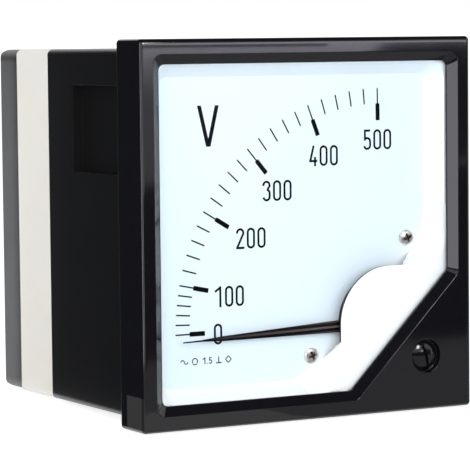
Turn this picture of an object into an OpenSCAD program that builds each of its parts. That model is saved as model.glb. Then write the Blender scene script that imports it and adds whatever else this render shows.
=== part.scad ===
// Square moving-coil panel voltmeter with a rectifier, zero adjuster and screw terminals.
// Frame: origin at the centre of the panel plane (the bezel's back face), X to the right
// seen from the front, Y into the panel, Z up. Millimetres.

/* [Bezel] */
// Width and height of the bezel
bezel_w = 80; // [78:0.5:84]
// Depth of the bezel in front of the panel
bezel_d = 10.4; // [9.8:0.1:13]
// Radius of the bezel's four corners
bezel_r = 0.9; // [0.5:0.1:2]
// Chamfer along the front edge of the bezel
front_chamfer = 0.45; // [0.2:0.05:0.8]
// Chamfer along the back edge of the bezel
back_chamfer = 0.4; // [0.2:0.05:0.8]
// Flat rim between the bezel's edge and the ridge of the bevel
rim_w = 3.2; // [2.2:0.1:4]
// Width of the sloped bevel inside the rim
bevel_w = 2; // [1:0.1:3]
// Depth of the sloped bevel
bevel_d = 1.55; // [1:0.05:2.2]
// Thickness of the lip in front of the window pane
lip_t = 0.35; // [0.3:0.05:0.8]
// Width of the flat ledge at the foot of the slope
lip_step = 0.15; // [0.1:0.05:0.3]
// How much nearer to the centre the window's diagonal edge is than the bezel's sides
diagonal_in = 8.2; // [6.5:0.1:8.4]
// Thickness of the wall across the diagonal corner
corner_t = 3.5; // [3:0.1:4.5]
// Height of the snap ridges inside the bezel
snap_h = 0.35; // [0.2:0.05:0.5]
// Length of each snap ridge
snap_len = 24; // [10:1:40]

/* [Window and dial] */
// Thickness of the window pane
pane_t = 0.8; // [0.6:0.1:1.5]
// How far the pane reaches behind the lip
pane_lap = 1.4; // [1:0.1:1.8]
// Depth of the dial surround, from the pane to the dial
surround_d = 3.7; // [3.4:0.1:4.5]
// Width of the surround's inner slope that shows inside the window
dial_margin = 2.7; // [2.2:0.1:3.4]
// How far the slope's outer edge lies behind the lip
slope_tuck = 0.2; // [0.1:0.05:0.4]
// Thickness of the dial plate
dial_t = 0.8; // [0.5:0.1:1.2]
// Thickness of the movement cover's top
cover_t = 1; // [0.8:0.1:1.4]
// Radius of the movement cover around the pointer's pivot
cover_r = 12.2; // [11.9:0.1:13]
// Angle that the cover's open edge runs past the scale at each end
cover_slot_past = 17; // [10:1:20]
// Radius of the hollow curve between the cover and the border
fairing_r = 15; // [14:0.1:15.5]
// How far the hollow curve leans out towards the pane
fairing_run = 3; // [1:0.1:4]
// Distance from the cover's edge to the centre of the hollow curve
fairing_off = 10.9; // [10:0.1:12]
// Radius of the dial's cut-out around the pivot
dial_cut_r = 10.7; // [10.5:0.1:11.2]
// Width of the cut-out that runs from the pivot to the corner
corner_slot_w = 11; // [9:0.5:12]
// Thickness of the printed ink
ink_t = 0.04; // [0.02:0.01:0.1]
// How much less than the dial's half width the dial screws lie off the diagonal
dial_screw_side_in = 15.1; // [14.5:0.1:16]
// How much less than the dial's half width the dial screws lie along the diagonal
dial_screw_in = 10.5; // [9.8:0.1:10.6]
// Radius of the dial screws' heads
dial_screw_head_r = 1.65; // [1.4:0.05:2]
// Radius of the dial screws' shanks
dial_screw_r = 1.1; // [0.9:0.05:1.2]
// Length of the dial screws' shanks
dial_screw_len = 4.6; // [3:0.1:5]

/* [Scale] */
// Gap from the scale's outer end to the window's side
scale_margin = 5.72; // [5.2:0.01:7]
// Length of the fine marks
fine_len = 3.3; // [2:0.1:4]
// Length of the heavy blocks inside the fine marks
heavy_len = 3.6; // [2:0.1:4]
// Width of the fine marks
fine_w = 0.3; // [0.2:0.05:0.5]
// Width of the heavy blocks
heavy_w = 0.98; // [0.5:0.05:1.2]
// Steps between two heavy marks
steps = 5; // [2:1:10]
// Height of the scale's figures
figure_h = 4.35; // [3:0.05:5]
// Width of the scale's figures
figure_w = 1.95; // [1.5:0.05:2.2]
// Stroke width of the figures
figure_stroke = 0.46; // [0.3:0.02:0.6]
// Distance from one figure to the next
figure_pitch = 2.55; // [2.4:0.05:3]

/* [Body] */
// How far the bezel stands out past the body on each side
flange_w = 2; // [1.8:0.1:3]
// Radius of the body's long edges
body_r = 1.3; // [0.8:0.1:2]
// Wall of the housing, the ring and the rear cover
wall = 1.8; // [1.6:0.1:2.2]
// Length of the front housing behind the panel
housing_len = 36.8; // [36:0.1:45]
// Length of the ring
ring_len = 16; // [12:0.5:20]
// Length of the rear cover
cap_len = 9.6; // [7.9:0.1:12]
// Thickness of the rear cover's back
floor_t = 2.2; // [2:0.1:3]
// Radius of the rear cover's long edges
cap_r = 2.6; // [2:0.1:3]
// Rounding of the rear cover's back edge
cap_round = 1.2; // [0.6:0.1:1.5]
// Depth of the side pockets for the mounting clips
pocket_d = 2.35; // [2:0.05:2.6]
// Length of the side pockets behind the panel
pocket_len = 24.7; // [20:0.1:27]
// Height of the side pockets
pocket_h = 18.4; // [12:0.1:18.5]
// Distance from the body's top to the pockets
pocket_top = 7.55; // [7:0.05:10]
// Skin behind a side pocket
pocket_skin = 1.2; // [1:0.1:1.6]
// Width of the screw columns in the corners of the body
column_w = 6.2; // [6:0.1:7]
// Distance of the case screws from the body's sides
case_screw_in = 5.1; // [4.9:0.1:5.3]
// Radius of the case screws
case_screw_r = 1.5; // [1.2:0.1:1.6]
// Radius of the case screws' heads
case_head_r = 2.7; // [2.4:0.1:2.8]
// Height of the case screws' heads
case_head_h = 1.8; // [1.4:0.1:2]
// How far the case screws reach into the housing
case_screw_bite = 10; // [6:0.5:11]

/* [Zero adjuster] */
// Distance of the adjuster from the bezel's sides
adjuster_in = 11.6; // [11:0.1:12]
// Radius of the adjuster's head
adjuster_head_r = 3.3; // [3:0.05:3.4]
// Gap around the adjuster's head
adjuster_ring = 0.32; // [0.2:0.02:0.5]
// Depth of the recess that holds the head
recess_d = 1.5; // [1.3:0.1:1.7]
// Radius of the adjuster's shaft
adjuster_shaft_r = 1.6; // [1.4:0.05:1.8]
// Length of the slot in the head
adjuster_slot_l = 4.6; // [3.5:0.1:5]
// Width of the slot in the head
adjuster_slot_w = 0.75; // [0.6:0.05:1]
// Angle of the slot from upright
adjuster_slot_a = 16; // [0:1:90]
// Distance of the pin from the adjuster's axis
eccentric = 1.2; // [1:0.05:1.3]
// Radius of the eccentric pin
pin_r = 0.5; // [0.4:0.05:0.55]
// Clearance of the pin in the fork
fork_gap = 0.1; // [0.1:0.01:0.15]

/* [Movement] */
// How much nearer to both centre lines the pointer's pivot is than the adjuster
pivot_in = 7.43; // [7.1:0.01:7.7]
// Gap from the dial carrier to the pole pieces
pole_gap = 4.7; // [4.6:0.1:5.2]
// Length of the pole pieces along the pivot axis
pole_len = 12; // [11:0.5:14]
// Radius of the bore in the pole pieces
bore_r = 6.7; // [6.7:0.05:7]
// Radius of the iron core
core_r = 5; // [4.6:0.1:5]
// Radial gap from the core to the coil
coil_gap = 0.45; // [0.4:0.05:0.5]
// Thickness of the coil former
former_t = 0.3; // [0.2:0.05:0.3]
// Thickness of the winding
winding_t = 0.6; // [0.4:0.05:0.6]
// Width of the coil former
former_w = 3; // [2.4:0.1:3.1]
// Gap from the core's ends to the coil former
core_end_gap = 0.6; // [0.5:0.1:0.8]
// Gap from the pole pieces to the bridges
bridge_gap = 5; // [5:0.1:5.4]
// Thickness of the bridges
bridge_t = 1; // [0.8:0.1:1.2]
// Width of the bridges
bridge_w = 4.2; // [3.6:0.1:4.6]
// Distance of the bridge screws from the pivot axis
bridge_screw_off = 8.8; // [8.6:0.1:9]
// Radius of the jewel screws
jewel_screw_r = 1.1; // [1:0.05:1.3]
// Outer radius of the hairsprings
spring_r = 3.6; // [3.2:0.1:3.6]
// Turns of the hairsprings
spring_turns = 4.5; // [3.5:1:5.5]
// Height of the hairspring strip
spring_h = 0.45; // [0.3:0.05:0.5]
// Gap from the pointer's tip to the scale's outer end
pointer_short = 0.9; // [0.5:0.1:2]
// Half width of the pointer where it is widest
pointer_half = 1.3; // [1:0.05:1.5]
// Height of the pointer's folded ridge
pointer_fold = 0.45; // [0.2:0.05:0.5]
// Thickness of the pointer's sheet
pointer_t = 0.2; // [0.15:0.05:0.3]
// Height of the pointer above the dial
pointer_lift = 1.2; // [1:0.05:1.3]
// Angle at which the pointer rests below the level
rest_drop = 1.7; // [0:0.1:2]
// Full swing of the pointer
swing = 92.5; // [90:0.5:93]

/* [Circuit and terminals] */
// Distance between the two terminal studs
stud_pitch = 38; // [32:1:44]
// Radius of the terminal studs
stud_r = 2; // [1.5:0.1:2.5]
// Length of the studs behind the rear cover
stud_out = 11; // [9:0.5:14]
// Size of the terminal nuts across their flats
nut_af = 7; // [6:0.1:8]
// Thickness of the terminal nuts
nut_t = 3.2; // [2.4:0.1:4]
// Radius of the terminal washers
washer_r = 4.5; // [4.2:0.1:5]
// Thickness of the terminal washers
washer_t = 0.8; // [0.6:0.1:1.2]
// Gap from the circuit board to the body's inner sides
board_gap = 5.9; // [5:0.1:9]
// Height of the circuit board
board_h = 36; // [30:1:40]
// Thickness of the circuit board
board_t = 1.6; // [1:0.1:2]
// Radius of the lead wires
lead_r = 0.6; // [0.4:0.05:0.8]

/* [Hidden] */

$fn = 48;
root2 = sqrt(2);
// Running clearance of turning parts, and clearance of parts that only sit in a hole
running = 0.05;
seat = 0.02;
// Clearance between mouldings, and a small step that carries a cut past a surface
moulding_gap = 0.05;
cut = 0.5;

// Places along Y, from the front to the back
y_front = -bezel_d;
y_lip = y_front + bevel_d;
y_pane = y_lip + lip_t;
y_surround = y_pane + pane_t;
y_cover_in = y_surround + cover_t;
y_dial = y_surround + surround_d;
y_carrier = y_dial + dial_t;
carrier_t = 1.5;
y_rim = y_carrier + carrier_t;
y_corner = y_front + corner_t;
y_ring = housing_len;
y_cap = y_ring + ring_len;
y_back = y_cap + cap_len;
y_floor = y_back - floor_t;

// Places along Y in the movement
y_pole = y_rim + pole_gap;
y_pole_back = y_pole + pole_len;
y_mid = (y_pole + y_pole_back) / 2;
y_bridge = y_pole - bridge_gap;
y_former = y_pole - core_end_gap - former_t;
y_coil = y_former - winding_t;
staff_base_t = 0.4;
y_staff = y_coil - staff_base_t;
pointer_y = y_dial - pointer_lift;
// Room from the bridge's inner face to the parts on the pivot staff
staff_len = 2;
y_stem = y_staff - staff_len;
y_tip = y_bridge + 0.25;
y_cup = y_bridge + 0.8;
hub_t = 0.6;
y_hub = y_stem + 1.15;
y_spring = y_stem + 0.05;
lever_t = 0.4;
lever_gap = 0.1;
y_lever = y_bridge - bridge_t - lever_gap - lever_t;
lock_nut_t = 0.8;
y_lock_nut = y_lever - lever_gap - lock_nut_t;
jewel_screw_out = 0.8;

// Widths and places across
win_half = bezel_w / 2 - rim_w - bevel_w;
diagonal_off = bezel_w / 2 - diagonal_in;
body_w = bezel_w - 2 * flange_w;
inner_half = body_w / 2 - wall;
nest_half = body_w / 2 - 0.3;
dial_half = win_half - dial_margin;
slope_run = dial_margin + slope_tuck;
dial_screw_off = dial_half - dial_screw_side_in;
dial_screw_s = dial_half - dial_screw_in;
case_screw_off = body_w / 2 - case_screw_in;
pocket_z = (body_w - pocket_h) / 2 - pocket_top;
adjuster_off = bezel_w / 2 - adjuster_in;
pivot_off = adjuster_off - pivot_in;
pivot_to_adjuster = (adjuster_off - pivot_off) * root2;
fork_r = pivot_to_adjuster - eccentric;
scale_r = pivot_off + win_half - scale_margin;
pointer_len = scale_r - pointer_short;
board_w = 2 * (inner_half - board_gap);

// Coil and spring details
stem_r = 0.6;
collet_r = 0.95;
staff_base_r = 1.4;
tip_r = 0.2;
spring_t = 0.1;
jewel_r = 0.6;
former_half = core_r + coil_gap;
post_r = spring_r + spring_t + 0.25;
// Radius, place and slack of the posts that stop the pointer
stop_r = 0.4;
stop_at = 8.2;
stop_gap = 3;

// ---- helpers ----

// Extrudes a drawing of X and Z from one Y to another
module along_y(y0, y1)
    translate([0, y1, 0]) rotate([90, 0, 0]) linear_extrude(y1 - y0) children();

// Extrudes a drawing of Y and Z from one X to another
module along_x(x0, x1)
    translate([x0, 0, 0]) rotate([90, 0, 90]) linear_extrude(x1 - x0) children();

// Turns a drawing of radius and Y about the Y axis
module turned()
    rotate([-90, 0, 0]) rotate_extrude() children();

module rod(r, y0, y1) along_y(y0, y1) circle(r);

module rounded_square(w, r) {
    square([w - 2 * r, w], center = true);
    square([w, w - 2 * r], center = true);
    for (x = [-1, 1], z = [-1, 1])
        translate([x * (w / 2 - r), z * (w / 2 - r)]) circle(r);
}

// Movement axes: local X leans up to the right, local Z up to the left
module in_movement()
    translate([pivot_off, 0, -pivot_off]) rotate([0, -45, 0]) children();

// Pointer axes: the pointer lies along local -X
module in_pointer()
    translate([pivot_off, 0, -pivot_off]) rotate([0, -rest_drop, 0]) children();

// Copies a rear part from a front part about the middle of the pole pieces
module from_rear()
    translate([0, 2 * y_mid, 0]) mirror([0, 1, 0]) children();

// A five-sided window outline, o outside the window's own edge
function window_points(o) =
    let (h = win_half + o, c = (diagonal_off + o) * root2 - h)
    [[-h, -h], [c, -h], [h, -c], [h, h], [-h, h]];

// A square of half width h with its corner cut at distance d along the diagonal
function cut_square(h, d) =
    [[-h, -h], [d * root2 - h, -h], [h, h - d * root2], [h, h], [-h, h]];

// A square opening whose sides lean from half width a at y0 to half width b at y1
module square_funnel(y0, a, y1, b) {
    intersection() {
        along_x(-bezel_w, bezel_w) polygon([[y0, -a], [y1, -b], [y1, b], [y0, a]]);
        translate([0, 0, -bezel_w]) linear_extrude(2 * bezel_w)
            polygon([[-a, y0], [-b, y1], [b, y1], [a, y0]]);
    }
}

// Everything on the centre's side of a face that leans from distance a to b along the diagonal
module diagonal_side(y0, a, y1, b)
    rotate([0, 45, 0]) linear_extrude(4 * bezel_w, center = true)
        polygon([[-2 * bezel_w, y0], [a, y0], [b, y1], [-2 * bezel_w, y1]]);

// Points on an arc of radius r about (x, z)
function arc_points(x, z, r, a0, a1, n) =
    [for (i = [0:n]) let (a = a0 + (a1 - a0) * i / n) [x + r * cos(a), z + r * sin(a)]];

// A curved stroke of width w
module arc_stroke(x, z, r, a0, a1, w, n = 12)
    polygon(concat(arc_points(x, z, r + w / 2, a0, a1, n),
        arc_points(x, z, r - w / 2, a1, a0, n)));

// A straight stroke of width w from p to q
module stroke(p, q, w) {
    d = q - p;
    translate(p) rotate(atan2(d[1], d[0])) translate([0, -w / 2]) square([norm(d), w]);
}

module at_dial_screws()
    for (side = [-1, 1]) rotate([0, 45, 0])
        translate([dial_screw_s, 0, side * dial_screw_off]) children();

module at_corners()
    for (x = [-1, 1], z = [-1, 1])
        translate([x * case_screw_off, 0, z * case_screw_off]) children();

module at_studs()
    for (side = [-1, 1]) translate([side * stud_pitch / 2, 0, 0]) children();

// ---- case ----

module bezel_block() {
    h = bezel_w / 2;
    profile = [[y_front, front_chamfer - h], [y_front + front_chamfer, -h],
        [-back_chamfer, -h], [0, back_chamfer - h], [0, h - back_chamfer],
        [-back_chamfer, h], [y_front + front_chamfer, h], [y_front, h - front_chamfer]];
    intersection() {
        along_y(y_front, 0) rounded_square(bezel_w, bezel_r);
        along_x(-h, h) polygon(profile);
        translate([0, 0, -h]) linear_extrude(bezel_w)
            polygon([for (p = profile) [p[1], p[0]]]);
    }
}

module adjuster_place() translate([adjuster_off, 0, -adjuster_off]) children();

// Length ridges or grooves of height h on the four sides of a square of half width at
module snap_bars(at, h, grow)
    for (a = [0:90:270]) rotate([0, a, 0])
        translate([at - h, -1.3 - grow, -snap_len / 2 - grow])
            cube([h + cut * grow / moulding_gap, 0.6 + 2 * grow, snap_len + 2 * grow]);

module front_bezel() color([0.06, 0.06, 0.065]) {
    nest = body_w / 2 + moulding_gap;
    lean = (bevel_w - lip_step) / bevel_d;
    difference() {
        bezel_block();
        intersection() {
            square_funnel(y_front - cut, win_half + bevel_w + lean * cut,
                y_lip, win_half + lip_step);
            diagonal_side(y_front - cut, diagonal_off + bevel_w + lean * cut,
                y_lip, diagonal_off + lip_step);
        }
        along_y(y_lip - cut, y_pane + cut) polygon(window_points(0));
        along_y(y_pane, y_corner + cut) polygon(window_points(pane_lap + moulding_gap));
        along_y(y_surround, y_corner + cut)
            polygon(cut_square(nest, diagonal_off + pane_lap + moulding_gap));
        along_y(y_corner, cut) square(2 * nest, center = true);
        adjuster_place() {
            rod(adjuster_head_r + adjuster_ring, y_front - cut, y_front + recess_d);
            rod(adjuster_shaft_r + running, y_front, y_corner + cut);
        }
    }
    snap_bars(nest, snap_h, 0);
}

module window_pane() color([0.85, 0.93, 0.97, 0.3])
    along_y(y_pane, y_surround) polygon(window_points(pane_lap));

// The cover's outline: a quarter disc around the pivot, filled out to the corner
module cover_outline() {
    far = bezel_w / 2;
    translate([pivot_off, -pivot_off]) circle(cover_r);
    translate([pivot_off, -far]) square([far - pivot_off, far - pivot_off + cover_r]);
    translate([pivot_off - cover_r, -far]) square([far - pivot_off + cover_r, far - pivot_off]);
}

// The hollow-curved foot that joins the cover's left edge to the bottom border
module cover_fairing() {
    edge = pivot_off - cover_r;
    x = edge - fairing_off;
    z = fairing_r - dial_half;
    top = -pivot_off - cover_r * sin(cover_slot_past);
    difference() {
        along_y(y_surround, y_dial)
            polygon([[x, -nest_half], [edge + cut, -nest_half], [edge + cut, top], [x, top]]);
        translate([x, 0, z]) turned()
            polygon([[0, y_surround - cut], [fairing_r + fairing_run * (1 + cut / surround_d),
                y_surround - cut], [fairing_r - fairing_run * cut / surround_d, y_dial + cut],
                [0, y_dial + cut]]);
    }
}

// The strip from the pivot out to the corner, for the zero lever
module corner_strip(y0, y1)
    along_y(y0, y1) translate([pivot_off, -pivot_off]) rotate(-45)
        translate([0, -corner_slot_w / 2]) square([bezel_w, corner_slot_w]);

module cover_hollow() {
    y0 = y_cover_in;
    y1 = y_dial + cut;
    past = cover_slot_past;
    translate([pivot_off, 0, -pivot_off]) {
        rod(cover_r - 1.1, y0, y1);
        along_y(y0, y1) polygon(concat([[0, 0]],
            arc_points(0, 0, cover_r + 2, 90 - past, 180 + past, 24)));
    }
    corner_strip(y0, y1);
}

module dial_surround() color([0.97, 0.98, 0.98]) {
    outer = cut_square(nest_half, diagonal_off + pane_lap);
    lean = slope_run / surround_d * cut;
    difference() {
        union() {
            difference() {
                along_y(y_surround, y_dial) polygon(outer);
                square_funnel(y_surround - cut, dial_half + slope_run + lean,
                    y_dial + cut, dial_half - lean);
            }
            intersection() {
                along_y(y_surround, y_dial) polygon(outer);
                union() {
                    along_y(y_surround, y_dial) cover_outline();
                    cover_fairing();
                    rotate([0, 45, 0]) mirror([0, 0, 1]) rotate([0, -45, 0]) cover_fairing();
                }
            }
        }
        cover_hollow();
    }
}

module dial_plate() color([0.87, 0.94, 0.99])
    difference() {
        along_y(y_dial, y_carrier) polygon(cut_square(nest_half, diagonal_off + pane_lap));
        translate([pivot_off, 0, -pivot_off]) rod(dial_cut_r, y_dial - cut, y_carrier + cut);
        corner_strip(y_dial - cut, y_carrier + cut);
        at_dial_screws() rod(dial_screw_r + running, y_dial - cut, y_carrier + cut);
    }

module dial_carrier() color([0.12, 0.12, 0.13])
    difference() {
        union() {
            along_y(y_carrier, y_rim) rounded_square(2 * nest_half, body_r);
            at_dial_screws() rod(dial_screw_r + 1.4, y_rim - cut, y_dial + dial_screw_len + 0.6);
            at_movement_screws() rod(2.4, y_rim - cut, y_pole);
        }
        translate([pivot_off, 0, -pivot_off]) rod(dial_cut_r + 0.3, y_carrier - cut, y_rim + cut);
        corner_strip(y_carrier - cut, y_rim + cut);
        at_dial_screws() rod(dial_screw_r + seat, y_dial, y_dial + dial_screw_len + seat);
        at_movement_screws() rod(movement_screw_r + seat, y_pole - movement_bite, y_pole + cut);
    }

// One pan-head screw at the origin, its head's seat at y and its shank running to +Y
module pan_screw(y, head_r, head_h, r, len) {
    dome = head_h * 0.45;
    difference() {
        turned() polygon(concat([[0, y + len], [r, y + len], [r, y], [head_r, y],
            [head_r, y - head_h + dome]],
            [for (a = [15:15:90]) [head_r * cos(a), y - head_h + dome - dome * sin(a)]]));
        for (a = [0, 90]) rotate([0, a + 20, 0])
            translate([-head_r * 0.62, y - head_h - cut, -head_r * 0.13])
                cube([head_r * 1.24, head_h * 0.6 + cut, head_r * 0.26]);
    }
}

module dial_screws() color([0.75, 0.74, 0.72])
    at_dial_screws() pan_screw(y_dial, dial_screw_head_r, 1, dial_screw_r, dial_screw_len);

// The two mirrored side pockets, grown by g inwards
module side_pockets(g)
    for (side = [0, 1]) mirror([side, 0, 0])
        translate([-body_w / 2, -g, pocket_z - pocket_h / 2 - g])
            cube([pocket_d + g, pocket_len + 2 * g, pocket_h + 2 * g]);

module columns(y0, y1)
    intersection() {
        along_y(y0, y1) square(2 * inner_half + wall, center = true);
        for (x = [-1, 1], z = [-1, 1])
            translate([x * inner_half, y0, z * inner_half])
                translate([x > 0 ? -column_w : -wall / 2, 0, z > 0 ? -column_w : -wall / 2])
                    cube([column_w + wall / 2, y1 - y0, column_w + wall / 2]);
    }

module front_housing() color([0.09, 0.09, 0.095])
    difference() {
        union() {
            difference() {
                along_y(y_rim, y_ring) rounded_square(body_w, body_r);
                along_y(y_rim - cut, y_ring + cut) square(2 * inner_half, center = true);
            }
            side_pockets(pocket_skin);
            columns(y_ring - case_screw_bite - 2, y_ring);
        }
        side_pockets(0);
        at_corners()
            rod(case_screw_r + seat, y_ring - case_screw_bite - seat, y_ring + cut);
        snap_bars(body_w / 2, snap_h, moulding_gap);
    }

module middle_ring() color([0.93, 0.92, 0.87])
    difference() {
        union() {
            difference() {
                along_y(y_ring, y_cap) rounded_square(body_w, body_r);
                along_y(y_ring - cut, y_cap + cut) square(2 * inner_half, center = true);
            }
            columns(y_ring, y_cap);
        }
        at_corners() rod(case_screw_r + running, y_ring - cut, y_cap + cut);
    }

module rear_cover() color([0.13, 0.13, 0.14]) {
    h = body_w / 2;
    round_points = arc_points(y_back - cap_round, h - cap_round, cap_round, 90, 0, 8);
    profile = concat([[y_cap, -h], [y_cap, h]], round_points,
        [for (i = [8:-1:0]) [round_points[i][0], -round_points[i][1]]]);
    difference() {
        union() {
            difference() {
                intersection() {
                    along_y(y_cap, y_back) rounded_square(body_w, cap_r);
                    along_x(-h, h) polygon(profile);
                    translate([0, 0, -h]) linear_extrude(body_w)
                        polygon([for (p = profile) [p[1], p[0]]]);
                }
                along_y(y_cap - cut, y_floor) rounded_square(2 * inner_half, cap_r - wall / 2);
            }
            intersection() {
                columns(y_cap, y_floor + cut);
                along_y(y_cap, y_back) rounded_square(body_w - wall, cap_r - wall / 2);
            }
            at_studs() rod(washer_r, y_floor - pad_h, y_floor + cut);
        }
        at_corners() {
            rod(case_screw_r + running, y_cap - cut, y_back);
            rod(case_head_r + 0.2, y_back - case_head_h - 0.2, y_back + cut);
        }
        at_studs() rod(stud_r + running, y_floor - pad_h - cut, y_back + cut);
    }
}

module case_screws() color([0.7, 0.7, 0.7])
    at_corners() translate([0, y_back - case_head_h - 0.2, 0]) mirror([0, 1, 0])
        pan_screw(0, case_head_r, case_head_h, case_screw_r,
            y_back - case_head_h - 0.2 - y_ring + case_screw_bite);

// ---- scale print ----

// Angle of each heavy mark above the left-hand level
major_angles = [0, 11.8, 30.3, 49.3, 69, 89.3];
// How far inside the scale's outer end the middle of each numeral lies, and its angle
numeral_at = [[10, -0.5], [12, 11.2], [12.7, 31.1], [11.4, 48.6], [11.4, 68.6], [11, 89]];

// A mark of width w from radius r - len out to radius r, at an angle above the level
module scale_mark(angle, r, len, w)
    translate([pivot_off, 0, -pivot_off]) rotate([0, angle, 0])
        translate([-r, y_dial - ink_t, -w / 2]) cube([len, ink_t, w]);

module scale_marks() color([0.05, 0.05, 0.05])
    for (i = [0:len(major_angles) - 1]) {
        scale_mark(major_angles[i], scale_r, fine_len, fine_w);
        scale_mark(major_angles[i], scale_r - fine_len, heavy_len, heavy_w);
        if (i > 0) for (k = [1:steps - 1]) {
            a = major_angles[i - 1] + (major_angles[i] - major_angles[i - 1]) * k / steps;
            scale_mark(a, scale_r, fine_len, fine_w);
        }
    }

// The lower bowl of a 3 or a 5: an arc from angle a0, a straight right side and a round foot
module bowl(m, top, r, a0, s) {
    arc_stroke(m, top, r, a0, 0, s);
    translate([m + r - s / 2, m]) square([s, top - m]);
    arc_stroke(m, m, r, 0, -170, s);
}

// Figures 0 to 5 in a box of width w and height h, stroke s
module figure(n, w, h, s) {
    m = w / 2;
    r = (w - s) / 2;
    if (n == 0) difference() {
        union() {
            translate([m, m]) circle(m);
            translate([m, h - m]) circle(m);
            translate([0, m]) square([w, h - w]);
        }
        translate([m, m]) circle(m - s);
        translate([m, h - m]) circle(m - s);
        translate([s, m]) square([w - 2 * s, h - w]);
    }
    if (n == 1) {
        stroke([m + s, 0], [m + s, h], s);
        stroke([0.1 * w, h - 1.1 * m], [m + s, h - s / 2], s);
    }
    if (n == 2) {
        arc_stroke(m, h - m, r, 190, -25, s);
        stroke([m + r * cos(25), h - m - r * sin(25)], [s / 2, s * 0.6], s);
        square([w, s]);
    }
    if (n == 3) {
        arc_stroke(m, h - m, r, 190, -75, s);
        bowl(m, 0.56 * h - r, r, 85, s);
    }
    if (n == 4) {
        stroke([w * 0.55, h], [s / 2, h * 0.24], s);
        translate([0, h * 0.2]) square([w, s]);
        translate([w * 0.6, 0]) square([s, h * 0.45]);
    }
    if (n == 5) {
        translate([0.1 * w, h - s]) square([0.8 * w, s]);
        translate([0.1 * w, h * 0.46]) square([s, h * 0.54]);
        bowl(m, 0.58 * h - r, r, 140, s);
    }
}

module numeral(figures, w, h, s, pitch)
    for (i = [0:len(figures) - 1]) translate([i * pitch, 0]) figure(figures[i], w, h, s);

module scale_figures() color([0.05, 0.05, 0.05])
    for (i = [0:len(numeral_at) - 1]) {
        figures = i == 0 ? [0] : [i, 0, 0];
        width = (len(figures) - 1) * figure_pitch + figure_w;
        r = scale_r - numeral_at[i][0];
        a = numeral_at[i][1];
        translate([pivot_off - r * cos(a) - width / 2, 0, r * sin(a) - pivot_off - figure_h / 2])
            along_y(y_dial - ink_t, y_dial)
                numeral(figures, figure_w, figure_h, figure_stroke, figure_pitch);
    }

// The V of the unit
module unit_letter() color([0.05, 0.05, 0.05])
    along_y(y_dial - ink_t, y_dial) translate([11.2 - dial_half, dial_half - 14.4]) {
        h = 8.5;
        top = 2.55;
        foot = 0.52;
        w = 0.9;
        polygon([[-foot, 0], [foot, 0], [top, h], [top - w, h], [0, 1.6], [w - top, h],
            [-top, h]]);
    }

module dial_symbols() color([0.05, 0.05, 0.05])
    along_y(y_dial - ink_t, y_dial) translate([4.1 - dial_half, 4.7 - dial_half]) {
        w = 0.2;
        // Sine wave for alternating current
        arc_stroke(0.5, 0.7, 0.4, 180, 0, w, 8);
        arc_stroke(1.3, 0.7, 0.4, -180, 0, w, 8);
        // Horseshoe magnet of a moving-coil movement, with the rectifier's bar
        arc_stroke(3.4, 0.75, 0.6, -40, 220, w, 12);
        stroke([2.9, 0.1], [3.9, 0.1], w);
        // Accuracy class
        translate([5.2, 0]) figure(1, 0.7, 1.4, w);
        translate([6.2, 0]) square([w, w]);
        translate([6.7, 0]) figure(5, 0.7, 1.4, w);
        // Upright mounting
        stroke([8.3, 0.1], [9.7, 0.1], w);
        stroke([9, 0.2], [9, 1.4], w);
        // Insulation test diamond
        for (a = [0:90:270]) translate([11.3, 0.7]) rotate(a)
            stroke([0.7, 0], [0, 0.7], w);
    }

// ---- zero adjuster ----

module zero_adjuster() color([0.05, 0.05, 0.055]) adjuster_place() {
    head_seat = y_front + recess_d - 0.1;
    rim = y_front + 0.75;
    dome = 0.65;
    difference() {
        turned() polygon(concat([[0, y_corner + 1], [adjuster_shaft_r, y_corner + 1],
            [adjuster_shaft_r, head_seat], [adjuster_head_r, head_seat], [adjuster_head_r, rim]],
            [for (a = [10:10:90]) [adjuster_head_r * cos(a), rim - dome * sin(a)]]));
        rotate([0, -adjuster_slot_a, 0])
            translate([-adjuster_slot_w / 2, y_front - cut, -adjuster_slot_l / 2])
                cube([adjuster_slot_w, 0.8 + cut, adjuster_slot_l]);
    }
    rotate([0, 45, 0]) translate([-eccentric, 0, 0])
        rod(pin_r, y_corner + 1 - cut, y_lever + lever_t + 0.4);
}

module adjuster_clip() color([0.7, 0.7, 0.72]) adjuster_place()
    difference() {
        rod(adjuster_shaft_r + 1.3, y_corner + 0.1, y_corner + 0.5);
        rod(adjuster_shaft_r + seat / 2, y_corner, y_corner + 1);
    }

module zero_lever() color([0.78, 0.62, 0.3]) in_movement() {
    y1 = y_lever + lever_t;
    fork_half = pin_r + fork_gap;
    difference() {
        along_y(y_lever, y1) {
            circle(jewel_screw_r + 1);
            translate([-0.8, -fork_r + 0.8]) square([1.6, fork_r - 1.6]);
            translate([-fork_half - 0.8, -fork_r - 1.2]) square([2 * fork_half + 1.6, 2.4]);
        }
        rod(jewel_screw_r + running, y_lever - cut, y1 + cut);
        along_y(y_lever - cut, y1 + cut) translate([-fork_half, -fork_r - 1.2 - cut])
            square([2 * fork_half, 1.2 + cut + pin_r + 0.4]);
    }
    translate([-0.5, y1, -post_r - 0.2]) cube([1, y_spring + spring_h - y1, 0.4]);
}

// ---- movement ----

// Half width of the pointer at each distance from its pivot
pointer_outline = [[1, 0.9], [5.2, 0.9], [10.8, pointer_half], [pointer_len - 9.3, 0.5],
    [pointer_len - 4.2, 0.16], [pointer_len, 0.12]];

module pointer_shape() {
    edge = [for (p = pointer_outline) [-p[0], p[1]]];
    polygon(concat(edge, [for (i = [len(edge) - 1:-1:0]) [edge[i][0], -edge[i][1]]]));
}

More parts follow.
